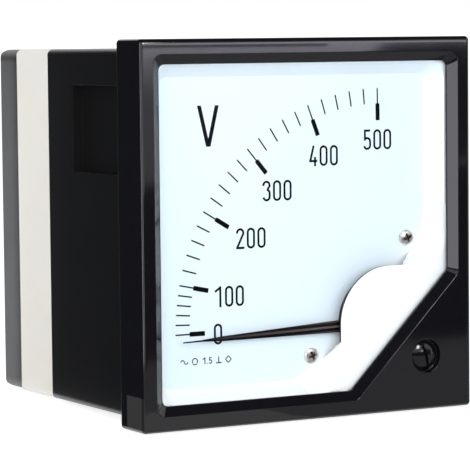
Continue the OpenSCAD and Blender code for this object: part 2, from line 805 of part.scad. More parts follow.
module pointer() color([0.04, 0.04, 0.04]) in_pointer() {
    crank0 = 5.2;
    crank1 = 9.6;
    y1 = pointer_y;
    foot = y_hub;
    difference() {
        union() {
            rod(1.8, foot - pointer_t, foot);
            intersection() {
                along_y(pointer_y - 2, foot + cut) pointer_shape();
                translate([0, 0, -2]) linear_extrude(4)
                    polygon([[-1, foot - pointer_t], [-1, foot], [-crank0, foot],
                        [-crank1, y1], [-crank1 - 0.6, y1], [-crank1 - 0.6, y1 - pointer_t],
                        [-crank1 - 0.15, y1 - pointer_t], [-crank0 - 0.15, foot - pointer_t]]);
            }
            intersection() {
                along_y(pointer_y - 2, foot) pointer_shape();
                along_x(-pointer_len, -crank1 - 0.2) polygon([
                    [y1, -pointer_half], [y1 - pointer_fold, 0], [y1, pointer_half],
                    [y1 - pointer_t, pointer_half], [y1 - pointer_fold - pointer_t, 0],
                    [y1 - pointer_t, -pointer_half]]);
            }
        }
        rod(stem_r + seat / 2, foot - 1, foot + 1);
    }
}

arm_r = 0.3;
tail_len = 8.4;
side_len = 5.4;

module pointer_hub() color([0.8, 0.66, 0.35]) in_pointer() {
    y = y_hub + hub_t / 2;
    difference() {
        union() {
            rod(1.8, y_hub, y_hub + hub_t);
            translate([1.2, y, 0]) rotate([0, 90, 0]) cylinder(r = arm_r, h = tail_len - 1.2);
            for (side = [-1, 1]) scale([1, 1, side])
                translate([0, y, 1.2]) cylinder(r = arm_r, h = side_len - 1.2);
        }
        rod(stem_r + seat / 2, y_hub - 1, y_hub + hub_t + 1);
    }
}

module balance_weights() color([0.85, 0.7, 0.35]) in_pointer()
    translate([0, y_hub + hub_t / 2, 0]) {
        translate([tail_len - 3.1, 0, 0]) rotate([0, 90, 0]) weight(1.25, 2.8);
        for (side = [-1, 1]) scale([1, 1, side])
            translate([0, 0, side_len - 1.4]) weight(0.7, 1.1);
    }

module weight(r, h) difference() {
    cylinder(r = r, h = h);
    translate([0, 0, -1]) cylinder(r = arm_r + seat, h = h + 2);
}

// A rectangular ring of wall t around the core, g outside the former's inside
module coil_ring(g, t, w) {
    y0 = y_pole - core_end_gap - g;
    y1 = y_pole_back + core_end_gap + g;
    h = former_half + g;
    in_pointer() difference() {
        along_x(-w / 2, w / 2) translate([y0 - t, -h - t])
            square([y1 - y0 + 2 * t, 2 * (h + t)]);
        along_x(-w, w) translate([y0, -h]) square([y1 - y0, 2 * h]);
    }
}

module coil_former() color([0.8, 0.81, 0.83]) coil_ring(0, former_t, former_w);

module coil_winding() color([0.72, 0.38, 0.2]) coil_ring(former_t, winding_t, former_w - 0.4);

// Pivot staff: base on the coil, stem with a collet for the hairspring, and a conical point
module pivot_staff() in_pointer() turned()
    polygon([[0, y_coil], [staff_base_r, y_coil], [staff_base_r, y_staff], [stem_r, y_staff],
        [stem_r, y_spring + spring_h], [collet_r, y_spring + spring_h], [collet_r, y_stem],
        [tip_r, y_stem], [tip_r, y_tip + 0.4], [0.05, y_tip + 0.1], [0, y_tip + 0.1]]);

module front_pivot() color([0.75, 0.76, 0.78]) pivot_staff();

module rear_pivot() color([0.75, 0.76, 0.78]) from_rear() pivot_staff();

// Flat spiral from the collet to the outer end at an angle in the movement's own axes
module hairspring(end_angle) {
    n = 24 * spring_turns;
    r0 = collet_r + spring_t / 2 + seat / 2;
    r1 = post_r - 0.2 - spring_t / 2 - seat;
    side = function (s) [for (i = [0:n])
        let (a = end_angle - 360 * spring_turns * (1 - i / n), r = r0 + (r1 - r0) * i / n + s)
        [r * cos(a), r * sin(a)]];
    inner = side(-spring_t / 2);
    outer = side(spring_t / 2);
    in_movement() along_y(y_spring, y_spring + spring_h)
        polygon(concat(outer, [for (i = [n:-1:0]) inner[i]]));
}

module front_hairspring() color([0.8, 0.5, 0.2]) hairspring(-90);

module rear_hairspring() color([0.8, 0.5, 0.2]) from_rear() hairspring(90);

module jewel_screw() in_movement() {
    y0 = y_lock_nut - jewel_screw_out;
    difference() {
        rod(jewel_screw_r, y0, y_cup);
        rod(jewel_r + seat / 2, y_tip - 0.3, y_cup + cut);
        translate([-2, y0 - cut, -0.15]) cube([4, 0.5 + cut, 0.3]);
    }
}

module front_jewel_screw() color([0.8, 0.65, 0.3]) jewel_screw();

module rear_jewel_screw() color([0.8, 0.65, 0.3]) from_rear() jewel_screw();

module jewel() in_movement() difference() {
    rod(jewel_r, y_tip - 0.3, y_cup);
    rod(tip_r + running, y_tip, y_cup + cut);
}

module jewels() color([0.75, 0.1, 0.25]) {
    jewel();
    from_rear() jewel();
}

module lock_nut() in_movement() difference() {
    rotate([0, 30, 0]) along_y(y_lock_nut, y_lock_nut + lock_nut_t)
        circle(jewel_screw_r + 1, $fn = 6);
    rod(jewel_screw_r + seat / 2, y_lock_nut - cut, y_lock_nut + lock_nut_t + cut);
}

module lock_nuts() color([0.8, 0.65, 0.3]) {
    lock_nut();
    from_rear() translate([0, lever_t + 2 * lever_gap, 0]) lock_nut();
}

bridge_screw_r = 0.6;
spacer_r = 1.2;

module at_bridge_screws()
    in_movement() for (side = [-1, 1]) translate([side * bridge_screw_off, 0, 0]) children();

// A strap across the pole pieces with a hole for the jewel screw
module bridge() difference() {
    in_movement() {
        along_y(y_bridge - bridge_t, y_bridge)
            square([2 * bridge_screw_off, bridge_w], center = true);
        for (side = [-1, 1]) translate([side * bridge_screw_off, 0, 0])
            rod(bridge_w / 2, y_bridge - bridge_t, y_bridge);
    }
    in_movement() rod(jewel_screw_r + seat / 2, y_bridge - bridge_t - cut, y_bridge + cut);
    at_bridge_screws() rod(bridge_screw_r + running, y_bridge - bridge_t - cut, y_bridge + cut);
}

module front_bridge() color([0.8, 0.66, 0.35]) bridge();

tag_end = 9;
tag_t = 0.4;

module rear_bridge() color([0.15, 0.15, 0.16]) from_rear() difference() {
    union() {
        bridge();
        in_movement() along_y(y_bridge - bridge_t, y_bridge) translate([-2, 0])
            square([4, tag_end]);
    }
    in_movement() translate([0, 0, post_r])
        rod(0.2 + seat, y_bridge - bridge_t - cut, y_bridge + cut);
    in_movement() rod(jewel_screw_r + seat / 2, y_bridge - bridge_t - cut, y_bridge + cut);
}

// Brass tag behind the rear bridge, with the post that holds the rear hairspring's outer end
module spring_tag() color([0.85, 0.7, 0.35]) from_rear() in_movement() {
    y0 = y_bridge - bridge_t - tag_t;
    along_y(y0, y0 + tag_t) translate([-1, post_r - 0.8]) square([2, tag_end - post_r + 0.8]);
    translate([0, 0, post_r]) rod(0.2, y0, y_spring + spring_h);
}

module spacer() at_bridge_screws() difference() {
    rod(spacer_r, y_bridge, y_pole);
    rod(bridge_screw_r + running, y_bridge - cut, y_pole + cut);
}

module bridge_spacers() color([0.8, 0.66, 0.35]) {
    spacer();
    from_rear() spacer();
}

bridge_bite = 3;

module bridge_screw() at_bridge_screws() difference() {
    union() {
        rod(bridge_screw_r, y_bridge - bridge_t, y_pole + bridge_bite);
        rod(1.15, y_bridge - bridge_t - 0.6, y_bridge - bridge_t);
    }
    translate([-2, y_bridge - bridge_t - 0.6 - cut, -0.12]) cube([4, 0.3 + cut, 0.24]);
}

module bridge_screws() color([0.7, 0.7, 0.72]) {
    bridge_screw();
    from_rear() bridge_screw();
}

core_screw_r = 0.9;
pole_inner = 3.35;
pole_outer = 11;
pole_top = 20;
magnet_half = 5;
magnet_foot = 10.2;
movement_screw_r = 1;
movement_screw_z = 15;
movement_bite = 4;
core_screw_in = 1.5;
core_screw_end = 9.6;

module core_screw_rod(r, z0, z1)
    in_movement() translate([0, y_mid, z0]) cylinder(r = r, h = z1 - z0);

module iron_core() color([0.5, 0.5, 0.52]) difference() {
    in_movement() rod(core_r, y_pole, y_pole_back);
    core_screw_rod(core_screw_r + seat, core_screw_in - seat, core_r + 1);
}

module core_bracket() color([0.8, 0.66, 0.35]) difference() {
    in_movement() {
        along_y(y_mid - 3, y_mid + 3) translate([-pole_inner, bore_r + 0.5])
            square([2 * pole_inner, core_screw_end - bore_r - 0.5]);
        along_y(y_mid - 2, y_mid + 2) translate([-1.6, core_r - 0.5])
            square([3.2, bore_r + 1 - core_r]);
    }
    in_movement() rod(core_r + seat, y_pole, y_pole_back);
    core_screw_rod(core_screw_r + seat, core_r - 1, core_screw_end + 1);
}

module core_screw() color([0.75, 0.76, 0.78]) difference() {
    core_screw_rod(core_screw_r, core_screw_in, core_screw_end);
    in_movement() translate([-2, y_mid - 0.15, core_screw_end - 0.5]) cube([4, 0.3, 1]);
}

module magnet() color([0.35, 0.35, 0.37])
    in_movement() along_y(y_pole, y_pole_back) translate([-magnet_half, magnet_foot])
        square([2 * magnet_half, pole_top - 0.6 - magnet_foot]);

module at_movement_screws()
    in_movement() for (side = [-1, 1])
        translate([side * (magnet_half + pole_outer) / 2, 0, movement_screw_z]) children();

// The pole piece on the local +X side of the pivot
module pole_piece() difference() {
    in_movement() along_y(y_pole, y_pole_back)
        polygon([[pole_inner, -8.5], [pole_outer - 2, -8.5], [pole_outer, -6.5],
            [pole_outer, pole_top], [magnet_half, pole_top], [magnet_half, magnet_foot - 0.4],
            [pole_inner, magnet_foot - 0.4]]);
    in_movement() rod(bore_r, y_pole - cut, y_pole_back + cut);
    at_movement_screws() rod(movement_screw_r + running, y_pole - cut, y_pole_back + cut);
    at_bridge_screws() {
        rod(bridge_screw_r + seat, y_pole - cut, y_pole + bridge_bite + seat);
        rod(bridge_screw_r + seat, y_pole_back - bridge_bite - seat, y_pole_back + cut);
    }
}

module upper_pole_piece() color([0.55, 0.55, 0.57]) pole_piece();

module lower_pole_piece() color([0.55, 0.55, 0.57])
    in_movement() mirror([1, 0, 0]) rotate([0, 45, 0]) translate([-pivot_off, 0, pivot_off])
        pole_piece();

module movement_screws() color([0.7, 0.7, 0.72])
    at_movement_screws() translate([0, y_pole_back, 0]) mirror([0, 1, 0])
        pan_screw(0, 1.9, 1.6, movement_screw_r, pole_len + movement_bite - seat);

// Two posts on the pole pieces that stop the pointer just past both ends of its swing
module pointer_stops() color([0.2, 0.2, 0.2]) {
    past = asin((pointer_half + stop_r) / stop_at) + stop_gap;
    for (a = [-rest_drop - past, -rest_drop + swing + past])
        translate([pivot_off, 0, -pivot_off]) rotate([0, a, 0]) translate([-stop_at, 0, 0])
            rod(stop_r, pointer_y - 0.2 + bridge_gap / 2, y_pole);
}

// ---- circuit and terminals ----

pad_h = 2.8;
y_board_back = y_floor - pad_h;
y_board = y_board_back - board_t;
stud_head_t = 2.4;
wire_r = 0.35;

// Middles of the parts on the board, as X and Z, and the spread of their two wires
resistor_at = [[-4, 12], [-4, 5]];
diode_at = [for (i = [0:3]) [9, 12.5 - 4 * i]];
capacitor_at = [-8, -10];
resistor_spread = 6.5;
diode_spread = 4.5;
capacitor_spread = 2.5;
// Ends of the leads on the board, as X and Z
red_end = [8, -12];
black_end = [2, -14];

module wire_holes(places, spread)
    for (p = places, side = [-1, 1])
        translate([p[0] + side * spread, 0, p[1]])
            rod(wire_r + running, y_board - cut, y_board_back + cut);

module circuit_board() color([0.45, 0.35, 0.12]) difference() {
    along_y(y_board, y_board_back) square([board_w, board_h], center = true);
    at_studs() rod(stud_r + running, y_board - cut, y_board_back + cut);
    wire_holes(resistor_at, resistor_spread);
    wire_holes(diode_at, diode_spread);
    wire_holes([capacitor_at], capacitor_spread);
}

// A tube-shaped part lying on the board with two bent wires through it
module axial_part(p, r, length, spread) {
    y = y_board - r - 0.4;
    translate([p[0], 0, p[1]]) {
        translate([-length / 2, y, 0]) rotate([0, 90, 0]) cylinder(r = r, h = length);
        translate([-spread, y, 0]) rotate([0, 90, 0]) cylinder(r = wire_r, h = 2 * spread);
        for (side = [-1, 1]) translate([side * spread, 0, 0]) {
            rod(wire_r, y, y_board_back + 0.7);
            translate([0, y, 0]) sphere(wire_r);
        }
    }
}

module range_resistors() color([0.75, 0.65, 0.5])
    for (p = resistor_at) axial_part(p, 2, 9, resistor_spread);

module rectifier_diodes() color([0.1, 0.1, 0.1])
    for (p = diode_at) axial_part(p, 1.3, 5, diode_spread);

module smoothing_capacitor() color([0.65, 0.25, 0.15])
    translate([capacitor_at[0], 0, capacitor_at[1]]) {
        translate([-4.5, y_board - 8.4, -2]) cube([9, 8, 4]);
        for (side = [-1, 1]) translate([side * capacitor_spread, 0, 0])
            rod(wire_r, y_board - 1, y_board_back + 0.7);
    }

module hexagon_prism(af, y0, y1) rotate([0, 30, 0]) along_y(y0, y1)
    circle(af / sqrt(3), $fn = 6);

module terminal_studs() color([0.85, 0.7, 0.35]) at_studs() {
    hexagon_prism(nut_af, y_board - stud_head_t, y_board);
    // A neck at the nut's outer face ends the seat of the wire's ring
    neck = y_back + washer_t + nut_t + 0.2;
    turned() polygon([[0, y_board - 1], [stud_r, y_board - 1], [stud_r, neck - 0.7],
        [stud_r - 0.3, neck - 0.7], [stud_r - 0.3, neck], [stud_r, neck],
        [stud_r, y_back + stud_out - 0.4], [stud_r - 0.4, y_back + stud_out],
        [0, y_back + stud_out]]);
}

module terminal_washers() color([0.85, 0.7, 0.35]) at_studs() difference() {
    rod(washer_r, y_back, y_back + washer_t);
    rod(stud_r + running, y_back - cut, y_back + washer_t + cut);
}

module terminal_nuts() color([0.85, 0.7, 0.35]) at_studs() difference() {
    y0 = y_back + washer_t;
    intersection() {
        hexagon_prism(nut_af, y0, y0 + nut_t);
        turned() polygon([[0, y0], [nut_af / 2 + 0.1, y0], [nut_af / 2 + 0.7, y0 + 0.4],
            [nut_af / 2 + 0.7, y0 + nut_t - 0.4], [nut_af / 2 + 0.1, y0 + nut_t],
            [0, y0 + nut_t]]);
    }
    rod(stud_r + seat, y0 - cut, y0 + nut_t + cut);
}

// A tube of radius r with eight sides along a route, its ends square to Y
module lead(route, r) {
    n = len(route);
    sides = 8;
    tangent = [for (i = [0:n - 1]) let (d = i == 0 || i == n - 1 ? [0, 1, 0]
        : route[i + 1] - route[i - 1]) d / norm(d)];
    rings = [for (i = [0:n - 1]) let (t = tangent[i], u = cross(t, [0, 0, 1]) / norm(cross(t,
        [0, 0, 1])), v = cross(t, u)) for (k = [0:sides - 1])
        route[i] + r * (cos(360 * k / sides) * u + sin(360 * k / sides) * v)];
    faces = concat([[for (k = [0:sides - 1]) k]],
        [[for (k = [sides - 1:-1:0]) (n - 1) * sides + k]],
        [for (i = [0:n - 2], k = [0:sides - 1]) let (m = (k + 1) % sides)
            [i * sides + k, (i + 1) * sides + k, (i + 1) * sides + m, i * sides + m]]);
    polyhedron(points = rings, faces = faces, convexity = 4);
}

// Points on a smooth route between two ends, both ends leaving along Y
function smooth_route(p, q, n) = [for (i = [0:n]) let (t = i / n, e = t * t * (3 - 2 * t))
    [p[0] + (q[0] - p[0]) * e, p[1] + (q[1] - p[1]) * t, p[2] + (q[2] - p[2]) * e]];

// A place in the movement's own axes, given in the meter's axes
function from_movement(x, y, z) =
    [pivot_off + (x - z) / root2, y, -pivot_off + (x + z) / root2];

tag_back = 2 * y_mid - y_bridge + bridge_t + tag_t;

module red_lead() color([0.7, 0.1, 0.08])
    lead(smooth_route(from_movement(0, tag_back, tag_end - 1),
        [red_end[0], y_board, red_end[1]], 24), lead_r);

module black_lead() color([0.08, 0.08, 0.08])
    lead(smooth_route(from_movement(-(magnet_half + pole_outer) / 2, y_pole_back + 1.6,
        movement_screw_z), [black_end[0], y_board, black_end[1]], 24), lead_r);

front_bezel();
window_pane();
dial_surround();
dial_plate();
scale_marks();
scale_figures();
unit_letter();
dial_symbols();
dial_screws();
dial_carrier();
front_housing();
middle_ring();
rear_cover();
case_screws();
zero_adjuster();
adjuster_clip();
zero_lever();
pointer();
pointer_hub();
balance_weights();
coil_former();
coil_winding();
front_pivot();
rear_pivot();
front_hairspring();
rear_hairspring();
front_jewel_screw();
rear_jewel_screw();
jewels();
lock_nuts();
front_bridge();
rear_bridge();
bridge_spacers();
bridge_screws();
iron_core();
core_bracket();
core_screw();
magnet();
upper_pole_piece();
lower_pole_piece();
movement_screws();
pointer_stops();
spring_tag();
circuit_board();
range_resistors();
rectifier_diodes();
smoothing_capacitor();
terminal_studs();
terminal_nuts();
terminal_washers();
red_lead();
black_lead();
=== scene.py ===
import math
import bpy
import bmesh
import numpy as np
from mathutils import Matrix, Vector
from mathutils.geometry import delaunay_2d_cdt


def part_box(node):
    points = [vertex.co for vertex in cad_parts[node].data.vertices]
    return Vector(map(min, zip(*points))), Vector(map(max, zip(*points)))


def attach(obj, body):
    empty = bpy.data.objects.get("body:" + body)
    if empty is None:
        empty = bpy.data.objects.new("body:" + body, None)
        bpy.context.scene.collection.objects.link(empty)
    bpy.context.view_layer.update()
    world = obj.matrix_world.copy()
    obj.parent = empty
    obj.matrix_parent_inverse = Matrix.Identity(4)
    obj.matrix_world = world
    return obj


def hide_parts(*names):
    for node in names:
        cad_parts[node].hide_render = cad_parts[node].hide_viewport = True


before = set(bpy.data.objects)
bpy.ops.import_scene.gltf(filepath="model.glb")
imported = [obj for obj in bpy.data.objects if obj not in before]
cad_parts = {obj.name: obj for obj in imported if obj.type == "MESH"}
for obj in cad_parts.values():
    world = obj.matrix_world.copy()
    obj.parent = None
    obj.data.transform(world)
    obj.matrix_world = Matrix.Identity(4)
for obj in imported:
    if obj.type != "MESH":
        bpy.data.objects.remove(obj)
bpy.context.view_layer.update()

mm = 0.001
scene = bpy.context.scene
print("frame loaded:", len(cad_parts), "nodes")


class Value:
    # a socket; an expression on values adds its Math nodes
    def __init__(self, finish, socket):
        self.finish, self.socket = finish, socket

    def maths(self, operation, first, second=0.0):
        return self.finish.node("ShaderNodeMath", {"operation": operation}, {0: first, 1: second})

    def __add__(self, other): return self.maths("ADD", self, other)
    def __radd__(self, other): return self.maths("ADD", other, self)
    def __sub__(self, other): return self.maths("SUBTRACT", self, other)
    def __rsub__(self, other): return self.maths("SUBTRACT", other, self)
    def __mul__(self, other): return self.maths("MULTIPLY", self, other)
    def __rmul__(self, other): return self.maths("MULTIPLY", other, self)
    def __truediv__(self, other): return self.maths("DIVIDE", self, other)
    def __pow__(self, other): return self.maths("POWER", self, other)
    def __abs__(self): return self.maths("ABSOLUTE", self)
    def __gt__(self, other): return self.maths("GREATER_THAN", self, other)
    def __lt__(self, other): return self.maths("LESS_THAN", self, other)


class Finish:
    # one material; node() adds any node, its settings first and then its sockets
    def __init__(self, name, owner=None):
        self.material = owner or bpy.data.materials.new(name)
        self.material.use_nodes = True
        self.tree = self.material.node_tree
        self.tree.nodes.clear()
        self.out = self.tree.nodes.new("ShaderNodeOutputWorld" if owner else "ShaderNodeOutputMaterial")
        self.at = None

    def node(self, kind, settings=None, sockets=None, output=0):
        made = self.tree.nodes.new(kind)
        for key, value in (settings or {}).items():
            if key == "stops":
                ramp = made.color_ramp
                while len(ramp.elements) < len(value):
                    ramp.elements.new(0.5)
                for element, (place, colour) in zip(ramp.elements, value):
                    element.position, element.color = place, (*colour, 1)
            else:
                setattr(made, key, value)
        for key, value in (sockets or {}).items():
            if isinstance(value, Value):
                self.tree.links.new(value.socket, made.inputs[key])
            else:
                plain = isinstance(value, tuple) and made.inputs[key].type == "RGBA"
                made.inputs[key].default_value = (*value, 1) if plain else value
        return Value(self, made.outputs[output])

    def place(self):
        # Object coordinates, in metres
        if self.at is None:
            self.at = self.node("ShaderNodeTexCoord", output=3)
        return self.at

    def along(self, axis):
        # one coordinate in millimetres
        return self.node("ShaderNodeSeparateXYZ", {}, {0: self.place()}, "XYZ".index(axis)) * 1000.0

    def noise(self, size, detail=2.0, rough=0.5, stretch=(1, 1, 1)):
        # noise whose features are about size millimetres across
        where = self.node("ShaderNodeMapping", {}, {"Vector": self.place(), "Scale": stretch})
        return self.node("ShaderNodeTexNoise", {}, {"Vector": where, "Scale": 1000 / size,
            "Detail": detail, "Roughness": rough})

    def ramp(self, value, *stops):
        return self.node("ShaderNodeValToRGB", {"stops": stops}, {"Fac": value})

    def level(self, value, low, high, to0=0.0, to1=1.0):
        return self.node("ShaderNodeMapRange", {"clamp": True}, {"Value": value, "From Min": low,
            "From Max": high, "To Min": to0, "To Max": to1})

    def mix(self, factor, a, b, blend="MIX"):
        return self.node("ShaderNodeMix", {"data_type": "RGBA", "blend_type": blend},
            {0: factor, 6: a, 7: b}, 2)

    def bump(self, height, distance, normal=None):
        more = {} if normal is None else {"Normal": normal}
        return self.node("ShaderNodeBump", {}, {"Height": height, "Distance": distance * mm, **more})

    def rounded(self, radius):
        # the normal of edges rounded by radius millimetres
        return self.node("ShaderNodeBevel", {"samples": 6}, {"Radius": radius * mm})

    def surface(self, colour, roughness=0.5, normal=None, **more):
        sockets = {"Base Color": colour, "Roughness": roughness}
        if normal is not None:
            sockets["Normal"] = normal
        sockets.update({key.replace("_", " "): value for key, value in more.items()})
        return self.shows(self.node("ShaderNodeBsdfPrincipled", {}, sockets))

    def shows(self, shader):
        self.tree.links.new(shader.socket, self.out.inputs[0])
        return self


def srgb(r, g, b):
    # a display colour from 0 to 255 as linear numbers
    return tuple(c / 255 / 12.92 if c <= 10 else ((c / 255 + 0.055) / 1.055) ** 2.4 for c in (r, g, b))


def roundedLoop(corners, radii, arcSteps=6, edgeSteps=4):
    # a polygon with round corners, anticlockwise seen from the front: each corner's arc
    # runs about a centre one radius inside both sides, then even steps reach the next arc
    corner = np.array(corners, float)
    radius = np.broadcast_to(np.array(radii, float), len(corner))[:, None]
    into = corner - np.roll(corner, 1, 0)
    away = np.roll(corner, -1, 0) - corner
    into /= np.linalg.norm(into, axis=1, keepdims=True)
    away /= np.linalg.norm(away, axis=1, keepdims=True)
    turn = np.arctan2(into[:, 0] * away[:, 1] - into[:, 1] * away[:, 0], (into * away).sum(1))[:, None]
    tangent = radius * np.tan(turn / 2)
    left = np.stack([-into[:, 1], into[:, 0]], 1)
    centre = corner - into * tangent + left * radius
    angle = turn * np.linspace(0, 1, arcSteps + 1)[None]
    arcs = (centre[:, None] + radius[:, None] * (np.sin(angle)[..., None] * into[:, None]
        - np.cos(angle)[..., None] * left[:, None]))
    share = np.linspace(0, 1, edgeSteps + 1)[1:-1, None]
    after = np.roll(arcs[:, :1], -1, 0)
    edges = arcs[:, -1:] + (after - arcs[:, -1:]) * share[None]
    return np.concatenate([arcs, edges], 1).reshape(-1, 2)


def squareCorners(half):
    return [(-half, -half), (half, -half), (half, half), (-half, half)]


def cutSquareCorners(half, diagonal):
    # a square whose lower right corner is cut at a distance along the diagonal
    near = diagonal * math.sqrt(2) - half
    return [(-half, -half), (near, -half), (half, -near), (half, half), (-half, half)]


def atDepth(loop, y):
    return np.stack([loop[:, 0], np.full(len(loop), float(y)), loop[:, 1]], 1)


def circleLoop(centre, radius, count=96, start=0.0):
    angle = start + 2 * np.pi * np.arange(count) / count
    return np.stack([centre[0] + radius * np.cos(angle), centre[1] + radius * np.sin(angle)], 1)


def inside(points, loops):
    # even-odd test of many points against several loops at once
    hit = np.zeros(len(points), bool)
    for loop in loops:
        a, b = loop, np.roll(loop, -1, 0)
        crosses = (a[None, :, 1] > points[:, None, 1]) != (b[None, :, 1] > points[:, None, 1])
        rise = np.where(b[:, 1] == a[:, 1], 1, b[:, 1] - a[:, 1])
        x = a[None, :, 0] + (points[:, None, 1] - a[None, :, 1]) * ((b - a)[:, 0] / rise)[None]
        hit ^= (crosses & (points[:, None, 0] < x)).sum(1) % 2 == 1
    return hit


class Shell:
    # gathers grids and flat patches, welds them and makes one piece
    def __init__(self):
        self.points, self.faces, self.count = [], [], 0

    def add(self, points, faces):
        self.points.append(points)
        self.faces += (np.asarray(faces) + self.count).tolist()
        self.count += len(points)

    def grid(self, rows, closed=True):
        # rows of points; neighbouring rows and columns are joined by quads
        rows = np.asarray(rows, float)
        r, c = rows.shape[:2]
        index = np.arange(r * c).reshape(r, c)
        if closed:
            index = np.concatenate([index, index[:, :1]], 1)
        quads = np.stack([index[:-1, :-1], index[:-1, 1:], index[1:, 1:], index[1:, :-1]], -1)
        self.add(rows.reshape(-1, 3), quads.reshape(-1, 4))

    def patch(self, loops, y):
        # a flat face at one depth between closed loops, holes included
        points = np.concatenate(loops)
        starts = np.cumsum([0] + [len(loop) for loop in loops])
        edges = np.concatenate([np.stack([np.arange(a, b), np.roll(np.arange(a, b), -1)], 1)
            for a, b in zip(starts[:-1], starts[1:])])
        found, _, triangles, *_ = delaunay_2d_cdt([tuple(p) for p in points], edges.tolist(), [], 0, 1e-7)
        found, triangles = np.array([tuple(v) for v in found]), np.array(triangles)
        keep = inside(found[triangles].mean(1), loops)
        self.add(atDepth(found, y), triangles[keep])

    def tube(self, centre, pairs, count=96, start=0.0):
        # a profile of radius and depth turned about an axis along Y
        self.grid([atDepth(circleLoop(centre, r, count, start), y) for r, y in pairs])

    def piece(self, name, body, finish, replaced=(), sharp=35, weld=0.002):
        mesh = bpy.data.meshes.new(name)
        mesh.from_pydata((np.concatenate(self.points) * mm).tolist(), [], self.faces)
        work = bmesh.new()
        work.from_mesh(mesh)
        bmesh.ops.remove_doubles(work, verts=work.verts, dist=weld * mm)
        bmesh.ops.dissolve_degenerate(work, edges=work.edges, dist=1e-4 * mm)
        bmesh.ops.recalc_face_normals(work, faces=work.faces)
        work.to_mesh(mesh)
        work.free()
        mesh.shade_smooth()
        mesh.set_sharp_from_angle(angle=math.radians(sharp))
        made = bpy.data.objects.new(name, mesh)
        scene.collection.objects.link(made)
        made.data.materials.append(finish.material)
        even = made.modifiers.new("evenNormals", "WEIGHTED_NORMAL")
        even.mode, even.weight, even.keep_sharp = "FACE_AREA", 100, True
        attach(made, body)
        if replaced:
            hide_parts(*replaced)
        return made


camera = {"lens": 203.598, "yaw": 29.1776, "pitch": 4.1848, "roll": -0.5955,
    "place": (-283.705, -485.607, 39.5)}


def makeCamera(c):
    # ahead, right and up from the yaw and pitch, then right and up turned by the roll
    yaw, pitch, roll = (math.radians(c[k]) for k in ("yaw", "pitch", "roll"))
    ahead = np.array([math.sin(yaw) * math.cos(pitch), math.cos(yaw) * math.cos(pitch), -math.sin(pitch)])
    right = np.array([math.cos(yaw), -math.sin(yaw), 0])
    up = np.cross(right, ahead)
    across = math.cos(roll) * right + math.sin(roll) * up
    top = -math.sin(roll) * right + math.cos(roll) * up
    made = bpy.data.objects.new("camera", bpy.data.cameras.new("camera"))
    made.data.sensor_width, made.data.lens = 36, c["lens"]
    made.data.clip_start, made.data.clip_end = 0.05, 20
    scene.collection.objects.link(made)
    turned = Matrix(np.stack([across, top, -ahead], 1).tolist()).to_4x4()
    turned.translation = [v * mm for v in c["place"]]
    made.matrix_world = turned
    scene.camera = made


makeCamera(camera)
print("camera set")

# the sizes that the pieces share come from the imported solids
boxes = {name: np.array(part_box(name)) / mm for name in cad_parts}
bezelHalf, bezelFront = boxes["front_bezel"][1, 0], boxes["front_bezel"][0, 1]
paneFront, paneBack = boxes["window_pane"][:, 1]
bodyHalf = boxes["front_housing"][1, 0]
dialFront = boxes["dial_plate"][0, 1]


